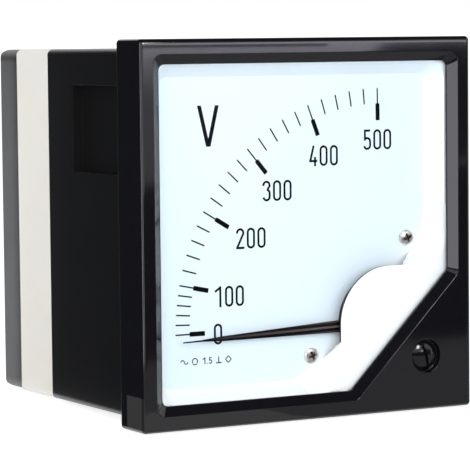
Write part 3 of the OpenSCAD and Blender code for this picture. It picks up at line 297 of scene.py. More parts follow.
stage = {"ambient": 0.5, "floorGlow": 0.80,
    # place, aim and width in millimetres, then power and colour
    "lamps": {
        "keyLamp": ((-300, -520, 190), (0, 0, 0), 460, 2.1, (1, 1, 1)),
        "fillLamp": ((20, -600, 40), (0, 0, 0), 460, 1.25, (0.97, 0.98, 1)),
        "sideLamp": ((-520, -60, 60), (0, 20, 0), 300, 0.5, (1, 1, 1)),
    },
    # glossy-only cards: colour, strength and corners in millimetres
    "cards": {
        "softbox": ((0.88, 0.86, 1.0), 4.6,
            [(60, -400, 34), (360, -400, 34), (360, -400, 120), (60, -400, 120)]),
        "softboxLow": ((0.92, 0.9, 1.0), 1.7,
            [(60, -400, 24), (360, -400, 24), (360, -400, 34), (60, -400, 34)]),
        "softboxFoot": ((0.94, 0.92, 1.0), 0.85,
            [(60, -400, -25), (360, -400, -25), (360, -400, 24), (60, -400, 24)]),
        "thinBar": ((0.9, 0.9, 1.0), 0.7,
            [(-40, -40, 38.1), (22, -40, 38.1), (22, -40, 38.8), (-40, -40, 38.95)]),
        "frontFlag": ((0.9, 0.9, 1.0), 0.02,
            [(-160, -150, -60), (300, -150, -60), (300, -150, 8.5), (-160, -150, -2)]),
        "frontFlagTop": ((0.9, 0.9, 1.0), 0.05,
            [(70, -149, 3), (170, -149, 8), (170, -149, 39), (107, -149, 38.9), (98, -149, 33)]),
        "frontFlagSide": ((0.9, 0.9, 1.0), 0.05,
            [(120, -148, 7), (330, -148, 7), (330, -148, 39), (124, -148, 39)]),
        "leftFlag": ((0.8, 0.85, 1.0), 0.03,
            [(-41.3, -0.5, -41), (-41.3, 60, -41), (-41.3, 60, 120), (-41.3, -0.5, 120)]),
        "leftEdgeFlag": ((0.8, 0.85, 1.0), 0.03,
            [(-41.3, -11, -33), (-41.3, -0.5, -33), (-41.3, -0.5, 120), (-41.3, -11, 120)]),
        "leftFoot": ((1.0, 1.0, 1.0), 0.3,
            [(-41.3, -11, -41), (-41.3, -0.5, -41), (-41.3, -0.5, -33), (-41.3, -11, -33)]),
        "capFlag": ((0.8, 0.85, 1.0), 0.05,
            [(-110, 200, 34), (-110, 330, 34), (-110, 330, 220), (-110, 200, 220)]),
        "leftFrontFlag": ((0.9, 0.9, 1.0), 0.04,
            [(-150, -250, -60), (-150, -100, -60), (-150, -100, 90), (-150, -250, 90)]),
        "ceilingFlag": ((0.9, 0.9, 1.0), 0.03,
            [(-150, -260, 190), (200, -260, 190), (200, 120, 190), (-150, 120, 190)]),
        "floorNear": ((1.0, 1.0, 1.0), 0.85,
            [(-90, -40, -40.2), (0, -40, -40.2), (0, -11, -40.1), (-90, -11, -40.1)]),
        "floorFar": ((1.0, 1.0, 1.0), 0.42,
            [(-160, -150, -44), (300, -150, -44), (300, -10.5, -40.2), (-160, -10.5, -40.2)]),
        "crescentCard": ((1.0, 1.0, 1.0), 20.0,
            [(-14, -150, 48), (28, -150, 56), (46, -150, 104), (6, -150, 108)]),
        "edgeGlow": ((0.95, 0.95, 1.0), 7.0,
            [(-150, -98, -60), (-150, -50, -60), (-150, -50, 60), (-150, -98, 60)]),
        "edgeGlowFront": ((0.95, 0.95, 1.0), 3.5,
            [(-128, -147, -60), (-92, -147, -60), (-92, -147, 60), (-128, -147, 60)]),
    }}


def card(name, corners, finish, glossyOnly=True):
    # a flat card through its corners in millimetres
    mesh = bpy.data.meshes.new(name)
    mesh.from_pydata((np.array(corners, float) * mm).tolist(), [], [tuple(range(len(corners)))])
    made = bpy.data.objects.new(name, mesh)
    scene.collection.objects.link(made)
    made.data.materials.append(finish.material)
    if glossyOnly:
        made.visible_camera = made.visible_diffuse = made.visible_shadow = False
        made.visible_transmission = made.visible_volume_scatter = False


def glowing(name, colour, strength):
    finish = Finish(name)
    return finish.shows(finish.node("ShaderNodeEmission", {}, {"Color": colour, "Strength": strength}))


def rayShare(finish):
    # one for rays that see the background: camera, glossy and transmission
    path = finish.tree.nodes.new("ShaderNodeLightPath")
    seen = [Value(finish, path.outputs[k]) for k in ("Is Camera Ray", "Is Glossy Ray", "Is Transmission Ray")]
    return finish.node("ShaderNodeClamp", {}, {0: seen[0] + seen[1] + seen[2]})


def makeWorld(s):
    world = bpy.data.worlds.new("studio")
    scene.world = world
    finish = Finish("studio", world)
    glow = finish.node("ShaderNodeBackground", {}, {"Color": (1.0, 1.0, 1.0), "Strength": 1.0})
    soft = finish.node("ShaderNodeBackground", {}, {"Color": (0.97, 0.985, 1.0), "Strength": s["ambient"]})
    finish.shows(finish.node("ShaderNodeMixShader", {}, {0: rayShare(finish), 1: soft, 2: glow}))


def makeFloor(s):
    # the plane through the bezel's lower back edge and the body's rear edge
    finish = Finish("paperFloor")
    grain = finish.noise(0.6, 3)
    paper = finish.node("ShaderNodeBsdfDiffuse", {},
        {"Color": finish.mix(grain, (0.80, 0.81, 0.82), (0.84, 0.85, 0.86))})
    glow = finish.node("ShaderNodeEmission", {}, {"Color": (1.0, 1.0, 1.0), "Strength": s["floorGlow"]})
    both = finish.node("ShaderNodeAddShader", {}, {0: paper, 1: glow})
    finish.shows(finish.node("ShaderNodeMixShader", {}, {0: rayShare(finish), 1: paper, 2: both}))
    rise = (bezelHalf - bodyHalf) / boxes["rear_cover"][1, 1]
    far = 4000
    square = ((-far, -far), (far, -far), (far, far), (-far, far))
    card("floor", [(x, y, -bezelHalf - 0.02 + rise * y) for x, y in square], finish, False)


def softLamp(name, place, aim, size, power, colour):
    lamp = bpy.data.lights.new(name, "AREA")
    lamp.shape, lamp.size, lamp.energy, lamp.color = "DISK", size * mm, power, colour
    made = bpy.data.objects.new(name, lamp)
    scene.collection.objects.link(made)
    back = np.array(place, float) - np.array(aim, float)
    back /= np.linalg.norm(back)
    side = np.cross((0, 0, 1), back)
    side /= np.linalg.norm(side)
    turned = Matrix(np.stack([side, np.cross(back, side), back], 1).tolist()).to_4x4()
    turned.translation = [v * mm for v in place]
    made.matrix_world = turned
    made.visible_glossy = False


scene.view_settings.view_transform = "Standard"
makeWorld(stage)
makeFloor(stage)
for name, (colour, strength, corners) in stage["cards"].items():
    card(name, corners, glowing(name, colour, strength))
for name, lamp in stage["lamps"].items():
    softLamp(name, *lamp)
print("stage set")


def blackMoulding(name, colour, gloss, edge=0.25, spread=0.06, wave=0.02):
    # moulded black plastic: roughness wanders with broad noise, low ripples and fine pits
    f = Finish(name)
    broad, fine = f.noise(9, 3), f.noise(0.35, 2)
    normal = f.bump(broad, wave, f.rounded(edge) if edge else None)
    return f.surface(f.mix(broad, colour, tuple(1.25 * c for c in colour)), gloss - spread + broad * (2 * spread)
        + fine * 0.03, f.bump(fine, 0.001, normal))


def metal(name, colour, gloss, edge=0.08, brushed=(1, 1, 1), tarnish=None, spread=0.12):
    # metal with fine brushing, cloudy roughness and a little tarnish
    f = Finish(name)
    cloud, fine = f.noise(2.5, 3), f.noise(0.12, 2, 0.5, brushed)
    dull = f.level(f.noise(1.3, 4, 0.6), 0.52, 0.72)
    shade = f.mix(dull, colour, tarnish or tuple(0.62 * c for c in colour))
    return f.surface(shade, gloss + cloud * spread, f.bump(fine, 0.004, f.rounded(edge)), Metallic=1.0)


def cleanGlass():
    f = Finish("paneGlass")
    clear = f.node("ShaderNodeBsdfTransparent", {}, {"Color": (0.985, 0.992, 0.992)})
    smear = f.level(f.noise(6, 3), 0.3, 0.8, 0.01, 0.05)
    shine = f.node("ShaderNodeBsdfGlossy", {}, {"Roughness": smear, "Color": (1.0, 1.0, 1.0)})
    fresnel = f.node("ShaderNodeFresnel", {}, {"IOR": 1.49})
    return f.shows(f.node("ShaderNodeMixShader", {}, {0: fresnel * 0.08, 1: clear, 2: shine}))


def dialPaintAndShading():
    # pale ice blue paint, darker towards the top, with painted shade deeper at the left and painted light that
    # fades it to white towards the cover
    f = Finish("dialPaintAndShading")
    height = f.level(f.along("Z"), -34, 34)
    tint = f.ramp(height, (0.0, srgb(230, 243, 252)), (0.5, srgb(228, 241, 252)), (1.0, srgb(223, 238, 252)))
    # painted shade: the left side is darkened for how light falls there
    tint = f.mix(f.level(f.along("X"), -20, -34, 0, 0.5), tint, srgb(214, 231, 250))
    # painted light: the dial turns white towards the cover, lifting the shade in the crevice between dial and
    # cover
    tint = f.mix(f.level(f.along("X") - f.along("Z"), 29, 38), tint, srgb(246, 250, 253))
    fine = f.noise(0.25, 2)
    return f.surface(f.mix(fine * 0.08, tint, srgb(214, 230, 242)), 0.42 + fine * 0.1, f.bump(fine, 0.002))


# the painted gap shade: a black line painted on the cover's edge for the shaded gap under it, between these
# depths and within this square
gapShade = {"depth": (-7.42, -6.6), "near": 8.6, "far": 24.6}


def coverWhite(g):
    # white moulding with painted shade: a cooler border above and beside, and a black line painted round the
    # cover's edge for the shaded gap under it
    f = Finish("coverWhite")
    # painted shade: the borders above and beside are tinted cooler for how light falls on them
    up = f.level(f.along("Z"), 28, 33)
    side = f.level(f.along("X"), 30, 35)
    tint = f.mix(side, srgb(251, 252, 253), srgb(242, 246, 251))
    tint = f.mix(up, tint, srgb(238, 248, 255))
    fine = f.noise(0.5, 2)
    tint = f.mix(fine * 0.06, tint, srgb(228, 232, 240))
    # painted shadow: the cover's edge is near black here, standing in for the shaded gap under the cover
    gap = (f.along("Y") > g["depth"][0]) * (f.along("Y") < g["depth"][1])
    gap = gap * (f.along("X") > g["near"]) * (f.along("X") < g["far"])
    gap = gap * (f.along("Z") < -g["near"]) * (f.along("Z") > -g["far"])
    return f.surface(f.mix(gap, tint, srgb(16, 16, 22)), 0.35 + fine * 0.1, f.bump(fine, 0.002))


def printInk():
    f = Finish("printInk")
    fine = f.noise(0.12, 3)
    return f.surface(f.mix(fine, srgb(3, 3, 4), srgb(9, 9, 12)), 0.5 + fine * 0.2, f.bump(fine, 0.004),
        **{"Specular IOR Level": 0.05})


# X and Z of the two dial screws
screwPlaces = [(27.29, -3.25), (3.25, -27.29)]


def screwNickel(centres, turn=20, armLong=0.95, armWide=0.27):
    # bright nickel with a dark brown cross in the arms of each cross slot, partly grime and partly painted shade
    # of the slot
    f = Finish("nickelScrew")
    cloud, fine = f.noise(0.9, 3), f.noise(0.12, 2)
    c, s = math.cos(math.radians(turn)), math.sin(math.radians(turn))
    # grime and painted shade: the arms of each cross slot are darkened brown
    slotGrimeAndShade = None
    for x, z in centres:
        dx, dz = f.along("X") - x, f.along("Z") - z
        u, v = abs(dx * c + dz * s), abs(dz * c - dx * s)
        arms = (u < armWide) * (v < armLong) + (v < armWide) * (u < armLong)
        slotGrimeAndShade = arms if slotGrimeAndShade is None else slotGrimeAndShade + arms
    slotGrimeAndShade = f.node("ShaderNodeClamp", {}, {0: slotGrimeAndShade})
    tint = f.mix(f.level(cloud, 0.5, 0.72), srgb(232, 229, 224), srgb(176, 150, 124))
    return f.surface(f.mix(slotGrimeAndShade * 0.9, tint, srgb(70, 46, 32)), 0.22 + cloud * 0.12 + slotGrimeAndShade * 0.3,
        f.bump(fine, 0.004, f.rounded(0.06)), Metallic=1.0)


# the painted fold highlight's half width and the painted lit edge's start and end, in millimetres off the middle
# line
lance = {"foldHighlight": 0.34, "edge": (0.7, 0.95)}


def pointerBlack(p):
    # satin black lance with a painted highlight along its fold and a fainter one along its edge, strongest near
    # the pivot
    f = Finish("pointerBlack")
    points = np.empty(3 * len(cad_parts["pointer"].data.vertices))
    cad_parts["pointer"].data.vertices.foreach_get("co", points)
    points = points.reshape(-1, 3)[:, [0, 2]] / mm
    middle = boxes["front_pivot"].mean(0)[[0, 2]]
    tip = points[np.linalg.norm(points - middle, axis=1).argmax()] - middle
    far, (dx, dz) = np.linalg.norm(tip), tip / np.linalg.norm(tip)
    x, z = f.along("X") - float(middle[0]), f.along("Z") - float(middle[1])
    out, aside = x * float(dx) + z * float(dz), z * float(dx) - x * float(dz)
    # painted highlight along the fold, then a fainter painted highlight along the lance's edge
    foldHighlight = f.level(abs(aside), p["foldHighlight"], 0.05) * f.level(out, far * 0.9, far * 0.3)
    edge = f.level(abs(aside), *p["edge"]) * f.level(out, far * 0.7, far * 0.3)
    fine = f.noise(0.5, 3, 0.6, (1, 1, 5))
    lit = f.node("ShaderNodeClamp", {}, {0: foldHighlight + edge * 0.4})
    tint = f.mix(lit * (0.55 + fine * 0.45), srgb(5, 5, 6), srgb(112, 98, 94))
    return f.surface(tint, 0.5 + fine * 0.15, f.bump(fine, 0.004), **{"Specular IOR Level": 0.1})


def creamRing():
    # cream plastic with faint yellowish patches
    f = Finish("creamPlastic")
    patch = f.level(f.noise(11, 3, 0.55, (1, 0.6, 1)), 0.48, 0.7)
    fine = f.noise(0.4, 2)
    tint = f.mix(patch * 0.35, srgb(249, 246, 238), srgb(246, 238, 214))
    return f.surface(tint, 0.32 + fine * 0.14, f.bump(f.noise(7, 2), 0.012, f.rounded(0.25)))


def wound(name, dark, light, turn, axis):
    # wire laid side by side: bands of one turn's width along an axis
    f = Finish(name)
    wave = (f.along(axis) * (2 * math.pi / turn)).maths("SINE", f.along(axis) * (2 * math.pi / turn))
    share = f.level(wave, -1, 1)
    return f.surface(f.mix(share, dark, light), 0.28 + share * 0.1, f.bump(share, 0.04), Metallic=1.0)


def board():
    # phenolic paper board: mottled brown with a fine weave
    f = Finish("phenolicBoard")
    grain, mottle = f.noise(0.5, 3, 0.6, (1, 1, 4)), f.noise(5, 3)
    tint = f.mix(mottle, srgb(150, 104, 52), srgb(120, 78, 36))
    return f.surface(f.mix(grain * 0.4, tint, srgb(172, 128, 74)), 0.45 + grain * 0.15, f.bump(grain, 0.02))


def jacket(name, colour):
    # soft vinyl over a stranded wire: slight twist showing through
    f = Finish(name)
    fine, broad = f.noise(0.3, 2), f.noise(3, 2)
    return f.surface(f.mix(broad, colour, tuple(0.8 * c for c in colour)), 0.4 + fine * 0.12,
        f.bump(broad, 0.05, f.bump(fine, 0.01)))


def banded(name, body, bands, axis, ends):
    # a lacquered body between two ends along an axis, with rings of colour at shares of it
    f = Finish(name)
    at = f.level(f.along(axis), ends[0], ends[1])
    tint = f.mix(f.noise(0.8, 2) * 0.4, body, tuple(0.8 * c for c in body))
    for place, width, colour in bands:
        ring = (at > place - width / 2) * (at < place + width / 2)
        tint = f.mix(ring, tint, colour)
    fine = f.noise(0.4, 2)
    return f.surface(tint, 0.3 + fine * 0.15, f.bump(fine, 0.01, f.rounded(0.15)))


finishes = {
    "bezelBlack": blackMoulding("bezelBlack", srgb(15, 15, 18), 0.06, 0, 0.02, 0.008),
    "housingBlack": blackMoulding("housingBlack", srgb(21, 21, 22), 0.3, 0.25),
    "capBlack": blackMoulding("capBlack", srgb(28, 29, 32), 0.33, 0.3),
    "carrierBlack": blackMoulding("carrierBlack", srgb(26, 26, 28), 0.5, 0.2),
    "adjusterBlack": blackMoulding("adjusterBlack", srgb(14, 14, 17), 0.1, 0),
    "stopBlack": blackMoulding("stopBlack", srgb(36, 36, 38), 0.55, 0.05),
    "paneGlass": cleanGlass(), "dialPaintAndShading": dialPaintAndShading(), "coverWhite": coverWhite(gapShade),
    "printInk": printInk(), "creamPlastic": creamRing(), "phenolicBoard": board(),
    "nickelScrew": screwNickel(screwPlaces),
    "zincScrew": metal("zincScrew", srgb(190, 192, 196), 0.3, 0.12, (1, 1, 1), srgb(140, 138, 134)),
    "steel": metal("steel", srgb(188, 190, 194), 0.2, 0.05, (1, 6, 1)),
    "springSteel": metal("springSteel", srgb(150, 152, 158), 0.28, 0.05, (6, 1, 1)),
    "iron": metal("iron", srgb(150, 151, 153), 0.4, 0.2, (1, 8, 1), srgb(108, 104, 100)),
    "magnetDark": metal("magnetDark", srgb(112, 112, 116), 0.5, 0.3, (1, 1, 1), srgb(84, 82, 82)),
    "brass": metal("brass", srgb(214, 178, 98), 0.24, 0.08, (6, 1, 1), srgb(156, 118, 58)),
    "platedBrass": metal("platedBrass", srgb(222, 192, 122), 0.2, 0.12, (1, 6, 1), srgb(176, 140, 82)),
    "bronze": metal("bronze", srgb(206, 140, 76), 0.22, 0.02),
    "aluminium": metal("aluminium", srgb(206, 208, 212), 0.3, 0.05, (1, 1, 6)),
    "pointerBlack": pointerBlack(lance),
    "copperWire": wound("copperWire", srgb(120, 52, 24), srgb(206, 112, 62), 0.12, "Y"),
    "redJacket": jacket("redJacket", srgb(186, 24, 20)), "blackJacket": jacket("blackJacket", srgb(24, 24, 26)),
}
ruby = Finish("ruby")
cloudy = ruby.noise(0.4, 2)
finishes["ruby"] = ruby.surface(ruby.mix(cloudy, srgb(196, 24, 62), srgb(140, 10, 40)), 0.08 + cloudy * 0.06)
wears = {
    "window_pane": "paneGlass", "dial_plate": "dialPaintAndShading",
    "scale_marks": "printInk", "scale_figures": "printInk", "unit_letter": "printInk",
    "dial_symbols": "printInk", "dial_screws": "nickelScrew", "dial_carrier": "carrierBlack",
    "front_housing": "housingBlack", "middle_ring": "creamPlastic", "rear_cover": "capBlack",
    "case_screws": "zincScrew", "adjuster_clip": "springSteel",
    "zero_lever": "brass", "pointer": "pointerBlack", "pointer_hub": "brass",
    "balance_weights": "brass", "coil_former": "aluminium", "coil_winding": "copperWire",
    "front_pivot": "steel", "rear_pivot": "steel", "front_hairspring": "bronze",
    "rear_hairspring": "bronze", "front_jewel_screw": "brass", "rear_jewel_screw": "brass",
    "jewels": "ruby", "lock_nuts": "brass", "front_bridge": "brass", "rear_bridge": "carrierBlack",
    "bridge_spacers": "brass", "bridge_screws": "steel", "iron_core": "iron",
    "core_bracket": "brass", "core_screw": "steel", "magnet": "magnetDark",
    "upper_pole_piece": "iron", "lower_pole_piece": "iron", "movement_screws": "steel",
    "pointer_stops": "stopBlack", "spring_tag": "platedBrass", "circuit_board": "phenolicBoard",
    "terminal_studs": "platedBrass", "terminal_nuts": "platedBrass",
    "terminal_washers": "platedBrass", "red_lead": "redJacket", "black_lead": "blackJacket",
}


def along(profile, radii, steps=5):
    # a polyline of (half width, depth) with each inner corner replaced by an arc tangent to
    # both its sides; radii gives each corner's radius, 0 for a sharp one
    p = np.array(profile, float)
    rows = [p[0]]
    for i in range(1, len(p) - 1):
        r = radii[i - 1]
        u, v = p[i - 1] - p[i], p[i + 1] - p[i]
        u, v = u / np.linalg.norm(u), v / np.linalg.norm(v)
        if r == 0:
            rows.append(p[i])
            continue
        half = math.acos(np.clip(u @ v, -1, 1)) / 2
        centre = p[i] + (u + v) / np.linalg.norm(u + v) * r / math.sin(half)
        a, b = p[i] + u * r / math.tan(half) - centre, p[i] + v * r / math.tan(half) - centre
        sweep = math.pi - 2 * half
        t = np.linspace(0, 1, steps + 1)[:, None]
        rows += list(centre + (a * np.sin((1 - t) * sweep) + b * np.sin(t * sweep)) / math.sin(sweep))
    return np.array(rows + [p[-1]])


bezel = {"corner": 0.9, "edgeFront": 1.0, "edgeBack": 0.6, "rim": 3.2, "slope": 2.0, "ledge": 0.15,
    "diagonalIn": 6.2, "ridgeEdge": 0.18, "ridgeCorner": 2.2, "lipCorner": 1.3, "slopeDepth": 1.55,
    "lipEdge": 0.1, "paneLap": 1.45, "nest": 38.05, "cornerWall": 3.5, "recessAt": 28.4,
    "recessRadius": 3.62, "recessDepth": 1.5, "boreRadius": 1.65,
    # flat strips beside the round edges keep their shading off the flat front
    "outerGuard": 1.3, "ridgeGuards": (0.5, 0.2), "recessGuards": (1, 0.25)}


def makeBezel(b):
    # outside: loops of a square carried along a profile with round edges; window: loops of a
    # square with its lower right corner cut; the front and the corner wall are flat patches
    shell = Shell()
    ridge, diagonal = bezelHalf - b["rim"], bezelHalf - b["diagonalIn"]
    wallBack = bezelFront + b["cornerWall"]
    outer = along([(b["nest"], wallBack), (b["nest"], 0), (bezelHalf, 0), (bezelHalf, bezelFront),
        (bezelHalf - b["outerGuard"], bezelFront)], [0.1, b["edgeBack"], b["edgeFront"]], 9)

    def squareRow(half, y):
        radius = np.clip(b["corner"] + half - bezelHalf, 0.3, 1.3) if half > b["nest"] + 0.2 else 1.3
        return atDepth(roundedLoop(squareCorners(half), radius, 8, 4), y)
    rows = [squareRow(half, y) for half, y in outer]
    shell.grid(rows)

    def windowLoop(half):
        shrink = ridge - half
        radius = np.interp(shrink, (0, b["slope"]), (b["ridgeCorner"], b["lipCorner"]))
        return roundedLoop(cutSquareCorners(half, diagonal - shrink), radius, 8, 6)
    lip = ridge - b["slope"]
    lipFront = bezelFront + b["slopeDepth"]
    inner = along([*((ridge + g, bezelFront) for g in b["ridgeGuards"]), (ridge, bezelFront),
        (lip + b["ledge"], lipFront), (lip, lipFront), (lip, paneFront), (lip + b["paneLap"], paneFront)],
        [0, b["ridgeEdge"], 0.05, b["lipEdge"] / 2, 0.03], 4)
    windowRows = [atDepth(windowLoop(half), y) for half, y in inner]
    shell.grid(windowRows)
    pocket = windowLoop(lip + b["paneLap"])
    nestLoop = roundedLoop(cutSquareCorners(b["nest"] - 0.06, diagonal - b["slope"] + b["paneLap"]), 1.2, 8, 6)
    shell.grid([atDepth(pocket, paneFront), atDepth(pocket, paneBack), atDepth(nestLoop, paneBack),
        atDepth(nestLoop, wallBack)])
    at = (b["recessAt"], -b["recessAt"])
    turned = along([*((b["recessRadius"] + g, bezelFront) for g in b["recessGuards"]),
        (b["recessRadius"], bezelFront), (b["recessRadius"], bezelFront + b["recessDepth"]),
        (b["boreRadius"], bezelFront + b["recessDepth"]), (b["boreRadius"], wallBack)], [0, 0.12, 0.1, 0], 4)
    shell.tube(at, turned)
    shell.patch([rows[-1][:, ::2], windowRows[0][:, ::2], circleLoop(at, turned[0, 0])], bezelFront)
    shell.patch([rows[0][:, ::2], nestLoop, circleLoop(at, b["boreRadius"])], wallBack)
    return shell.piece("bezelShell", "case", finishes["bezelBlack"], ["front_bezel"])


makeBezel(bezel)
print("bezel made")


surround = {"dialHalf": 32.1, "slopeRun": 2.9, "outer": 37.3, "outerDiagonal": 33.05, "plate": 0.8,
    "pivotAt": 20.97, "coverRadius": 12.2, "fairingRadius": 15.0, "fairingEnd": 12.97, "hollowRun": 2.6,
    "coverEdge": 0.28, "cornerRadius": 1.2}


def makeSurround(s):
    # the dial's edge, seen from the front: a square whose lower right corner is a quarter circle
    # about the pointer's pivot that joins the square's sides through two hollow arcs; from each
    # point of it a ray runs outwards, and the surface climbs along that ray from the dial to the
    # pane, on a long slope at the borders and over a thin round edge at the cover
    half, pivot, hollow = s["dialHalf"], s["pivotAt"], s["fairingRadius"]
    corner = s["cornerRadius"]
    flat = pivot - s["coverRadius"]  # the cover's straight edges stand at this distance
    centre = (half - hollow, s["fairingEnd"] - flat)
    close = math.asin(s["fairingEnd"] / hollow)

    def line(a, b, n, ways, cover):
        t = np.linspace(0, 1, n, endpoint=False)[:, None]
        return np.concatenate([np.array(a) + (np.array(b) - a) * t, ways[0] + (ways[1] - ways[0]) * t,
            cover[0] + (cover[1] - cover[0]) * t], 1)

    def arc(at, r, a, b, n, ways, cover):
        t = np.linspace(0, 1, n, endpoint=False)
        angle = np.radians(a + (b - a) * t)
        return np.stack([at[0] + r * np.cos(angle), at[1] + r * np.sin(angle),
            ways[0] + (ways[1] - ways[0]) * t, cover[0] + (cover[1] - cover[0]) * t], 1)
    turn = math.degrees(close)
    meet = (centre[0] + hollow * math.cos(close), -flat)  # where the hollow arc meets the cover
    # x, z, the ray's angle and how much of the cover's edge there is, down the right half
    right = np.concatenate([
        line((0, half), (half - corner, half), 40, (90, 90), (0, 0)),
        arc((half - corner, half - corner), corner, 90, 0, 8, (90, 0), (0, 0)),
        line((half, half - corner), (half, centre[1]), 50, (0, 0), (0, 0)),
        arc(centre, hollow, 0, -turn, 44, (0, -45), (0, 1)),
        line(meet, (pivot, -flat), 24, (-45, -45), (1, 1)),
        arc((pivot, -pivot), s["coverRadius"], 90, 135, 40, (-45, -45), (1, 1)),
        [[pivot - s["coverRadius"] * math.sqrt(0.5), -pivot + s["coverRadius"] * math.sqrt(0.5), -45, 1]]])
    # the same mirrored in the corner's diagonal for the lower half, then the lower left corner
    under = np.stack([-right[::-1, 1], -right[::-1, 0], -90 - right[::-1, 2], right[::-1, 3]], 1)[1:]
    left = np.concatenate([
        line((0, -half), (-half + corner, -half), 40, (-90, -90), (0, 0))[1:],
        arc((-half + corner, -half + corner), corner, 270, 180, 8, (-90, -180), (0, 0)),
        line((-half, -half + corner), (-half, half - corner), 80, (-180, -180), (0, 0)),
        arc((-half + corner, half - corner), corner, 180, 90, 8, (-180, -270), (0, 0)),
        line((-half + corner, half), (0, half), 40, (-270, -270), (0, 0))])
    under = under[under[:, 0] > 0.01]
    path = np.concatenate([right, under, left])
    x, z = path[:, 0], path[:, 1]
    way = np.radians(path[:, 2])
    ux, uz = np.cos(way), np.sin(way)
    near = np.clip((path[:, 3] - 0.62) / 0.38, 0, 1)
    c = near ** 2 * (3 - 2 * near)
    hollowShare = np.sin(np.pi * np.clip(path[:, 3], 0, 1)) ** 0.7
    # the ray's length to the nearest of the outline's five sides
    outer, diagonal = s["outer"], s["outerDiagonal"] * math.sqrt(2)
    with np.errstate(divide="ignore"):
        reach = np.min([np.where(share > 1e-6, gap / share, 1e9) for share, gap in (
            (ux, outer - x), (-ux, outer + x), (uz, outer - z), (-uz, outer + z),
            (ux - uz, diagonal - (x - z)))], 0)
    climb = paneBack - dialFront
    run = s["slopeRun"] + s["hollowRun"] * hollowShare
    rows = []
    for q in np.linspace(0, 1, 19):
        # border: an even slope with a soft top; cover: up its edge, then over a quarter circle
        soft = q + (q * q * (3 - 2 * q) - q) * hollowShare
        borderOut, borderUp = run * q, dialFront + climb * soft
        over = max(2 * q - 1, 0) * math.pi / 2
        coverOut = s["coverEdge"] * (1 - math.cos(over))
        coverUp = (paneBack + s["plate"] - min(2 * q, 1) * (s["plate"] - s["coverEdge"])
            - s["coverEdge"] * math.sin(over))
        out, up = borderOut * (1 - c) + coverOut * c, borderUp * (1 - c) + coverUp * c
        rows.append(np.stack([x + ux * out, up, z + uz * out], 1))
    first = run * (1 - c) + s["coverEdge"] * c
    outs = [first + (reach - first) * q for q in np.linspace(0.1, 1, 8)]
    rows += [np.stack([x + ux * out, np.full(len(x), paneBack), z + uz * out], 1) for out in outs]
    under = [row + 0 for row in rows[:0:-1]]
    for row in under:
        row[:, 1] = np.where(c > 0.98, paneBack + s["plate"], np.minimum(row[:, 1] + s["plate"], dialFront))
    shell = Shell()
    shell.grid(np.array(rows + under + [rows[0]])[:, ::-1])
    return shell.piece("surroundShell", "case", finishes["coverWhite"], ["dial_surround"], 40)


makeSurround(surround)
print("surround made")


adjuster = {"headRadius": 3.3, "front": -10.3, "rim": -9.12, "crown": 2.2, "back": -9.0, "slotLength": 4.3,
    "slotWidth": 0.66, "slotFloor": -9.35, "slotTurn": 16, "at": (28.4, -28.4), "shaft": 1.6, "shaftEnd": -5.9,
    "pin": 0.5, "pinAt": (27.5515, -27.5515)}


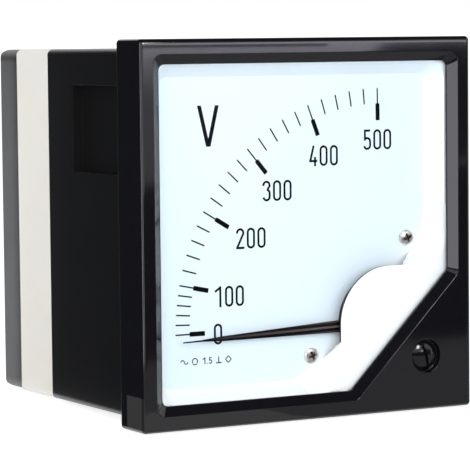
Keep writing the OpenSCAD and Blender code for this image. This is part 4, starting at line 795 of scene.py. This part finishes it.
def makeAdjuster(a):
    # a domed screw head: the depth grows from the middle as a power of the radius; the slot is a
    # stadium with a flat floor; rows run from the slot's middle over its wall and the dome to the
    # rim, as blends of stadium and circle, then down the shaft; a pin stands off its axis
    middle = np.array(a["at"])
    count = 120
    angle = 2 * np.pi * np.arange(count) / count
    ring = np.stack([np.cos(angle), np.sin(angle)], 1)
    halfLong, halfWide = a["slotLength"] / 2, a["slotWidth"] / 2
    stadium = np.stack([np.clip(ring[:, 0] * halfLong * 1.25, -halfLong, halfLong),
        np.clip(ring[:, 1] * halfWide * 4, -halfWide, halfWide)], 1)
    turn = math.radians(90 + a["slotTurn"])
    turned = np.array([[math.cos(turn), math.sin(turn)], [-math.sin(turn), math.cos(turn)]])

    def dome(flat):
        r = np.linalg.norm(flat, axis=1) / a["headRadius"]
        return a["front"] + (a["rim"] - a["front"]) * r ** a["crown"]

    def row(flat, y=None):
        at = flat @ turned + middle
        return np.stack([at[:, 0], dome(flat) if y is None else np.full(count, float(y)), at[:, 1]], 1)
    floor = a["slotFloor"]
    rows = [row(stadium * 0, floor), row(stadium * 0.96, floor),
        row(stadium * 0.985, floor - 0.01), row(stadium, floor - 0.04)]
    wall = row(stadium)
    wall[:, 1] += 0.05
    rows += [wall, row(stadium * 1.02)]
    circle = ring * a["headRadius"]
    rows += [row(stadium * 1.05 + (circle * 0.985 - stadium * 1.05) * q) for q in np.linspace(0, 1, 26) ** 0.9]
    rim = a["rim"]
    shaft = a["shaft"] / a["headRadius"]
    rows += [row(circle * grow, y) for grow, y in ((0.997, rim - 0.02), (1.0, rim + 0.04), (1.0, a["back"]),
        (shaft, a["back"]), (shaft, a["shaftEnd"]), (0.0, a["shaftEnd"]))]
    shell = Shell()
    shell.grid(rows)
    end, r = boxes["zero_adjuster"][1, 1], a["pin"]
    shell.tube(a["pinAt"], [(0, a["shaftEnd"] - 0.3), (r, a["shaftEnd"] - 0.3), (r, end - 0.12),
        (r - 0.1, end), (0, end)], 32)
    return shell.piece("adjusterHead", "zero_adjuster", finishes["adjusterBlack"], ["zero_adjuster"], 32)


makeAdjuster(adjuster)
print("adjuster made")


def dress(node, finish):
    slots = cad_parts[node].data.materials
    if not len(slots):
        slots.append(finish.material)
    for i in range(len(slots)):
        slots[i] = finish.material


brown, violet, orange, gold = srgb(96, 52, 24), srgb(96, 40, 130), srgb(226, 104, 24), srgb(196, 150, 60)
parts = {"range_resistors": ("bandedLacquer", srgb(204, 178, 132), [(0.2, 0.07, brown), (0.4, 0.07, violet),
        (0.6, 0.07, orange), (0.82, 0.07, gold)]),
    "rectifier_diodes": ("diodeBlack", srgb(26, 26, 28), [(0.8, 0.12, srgb(206, 206, 208))]),
    "smoothing_capacitor": ("capacitorSleeve", srgb(186, 84, 38), [(0.12, 0.03, srgb(120, 50, 22)),
        (0.85, 0.12, srgb(60, 40, 34))])}
for node, (name, body, bands) in parts.items():
    finishes[name] = banded(name, body, bands, "X", tuple(boxes[node][:, 0]))
    wears[node] = name
for node, name in wears.items():
    dress(node, finishes[name])
print("finishes:", len(finishes))
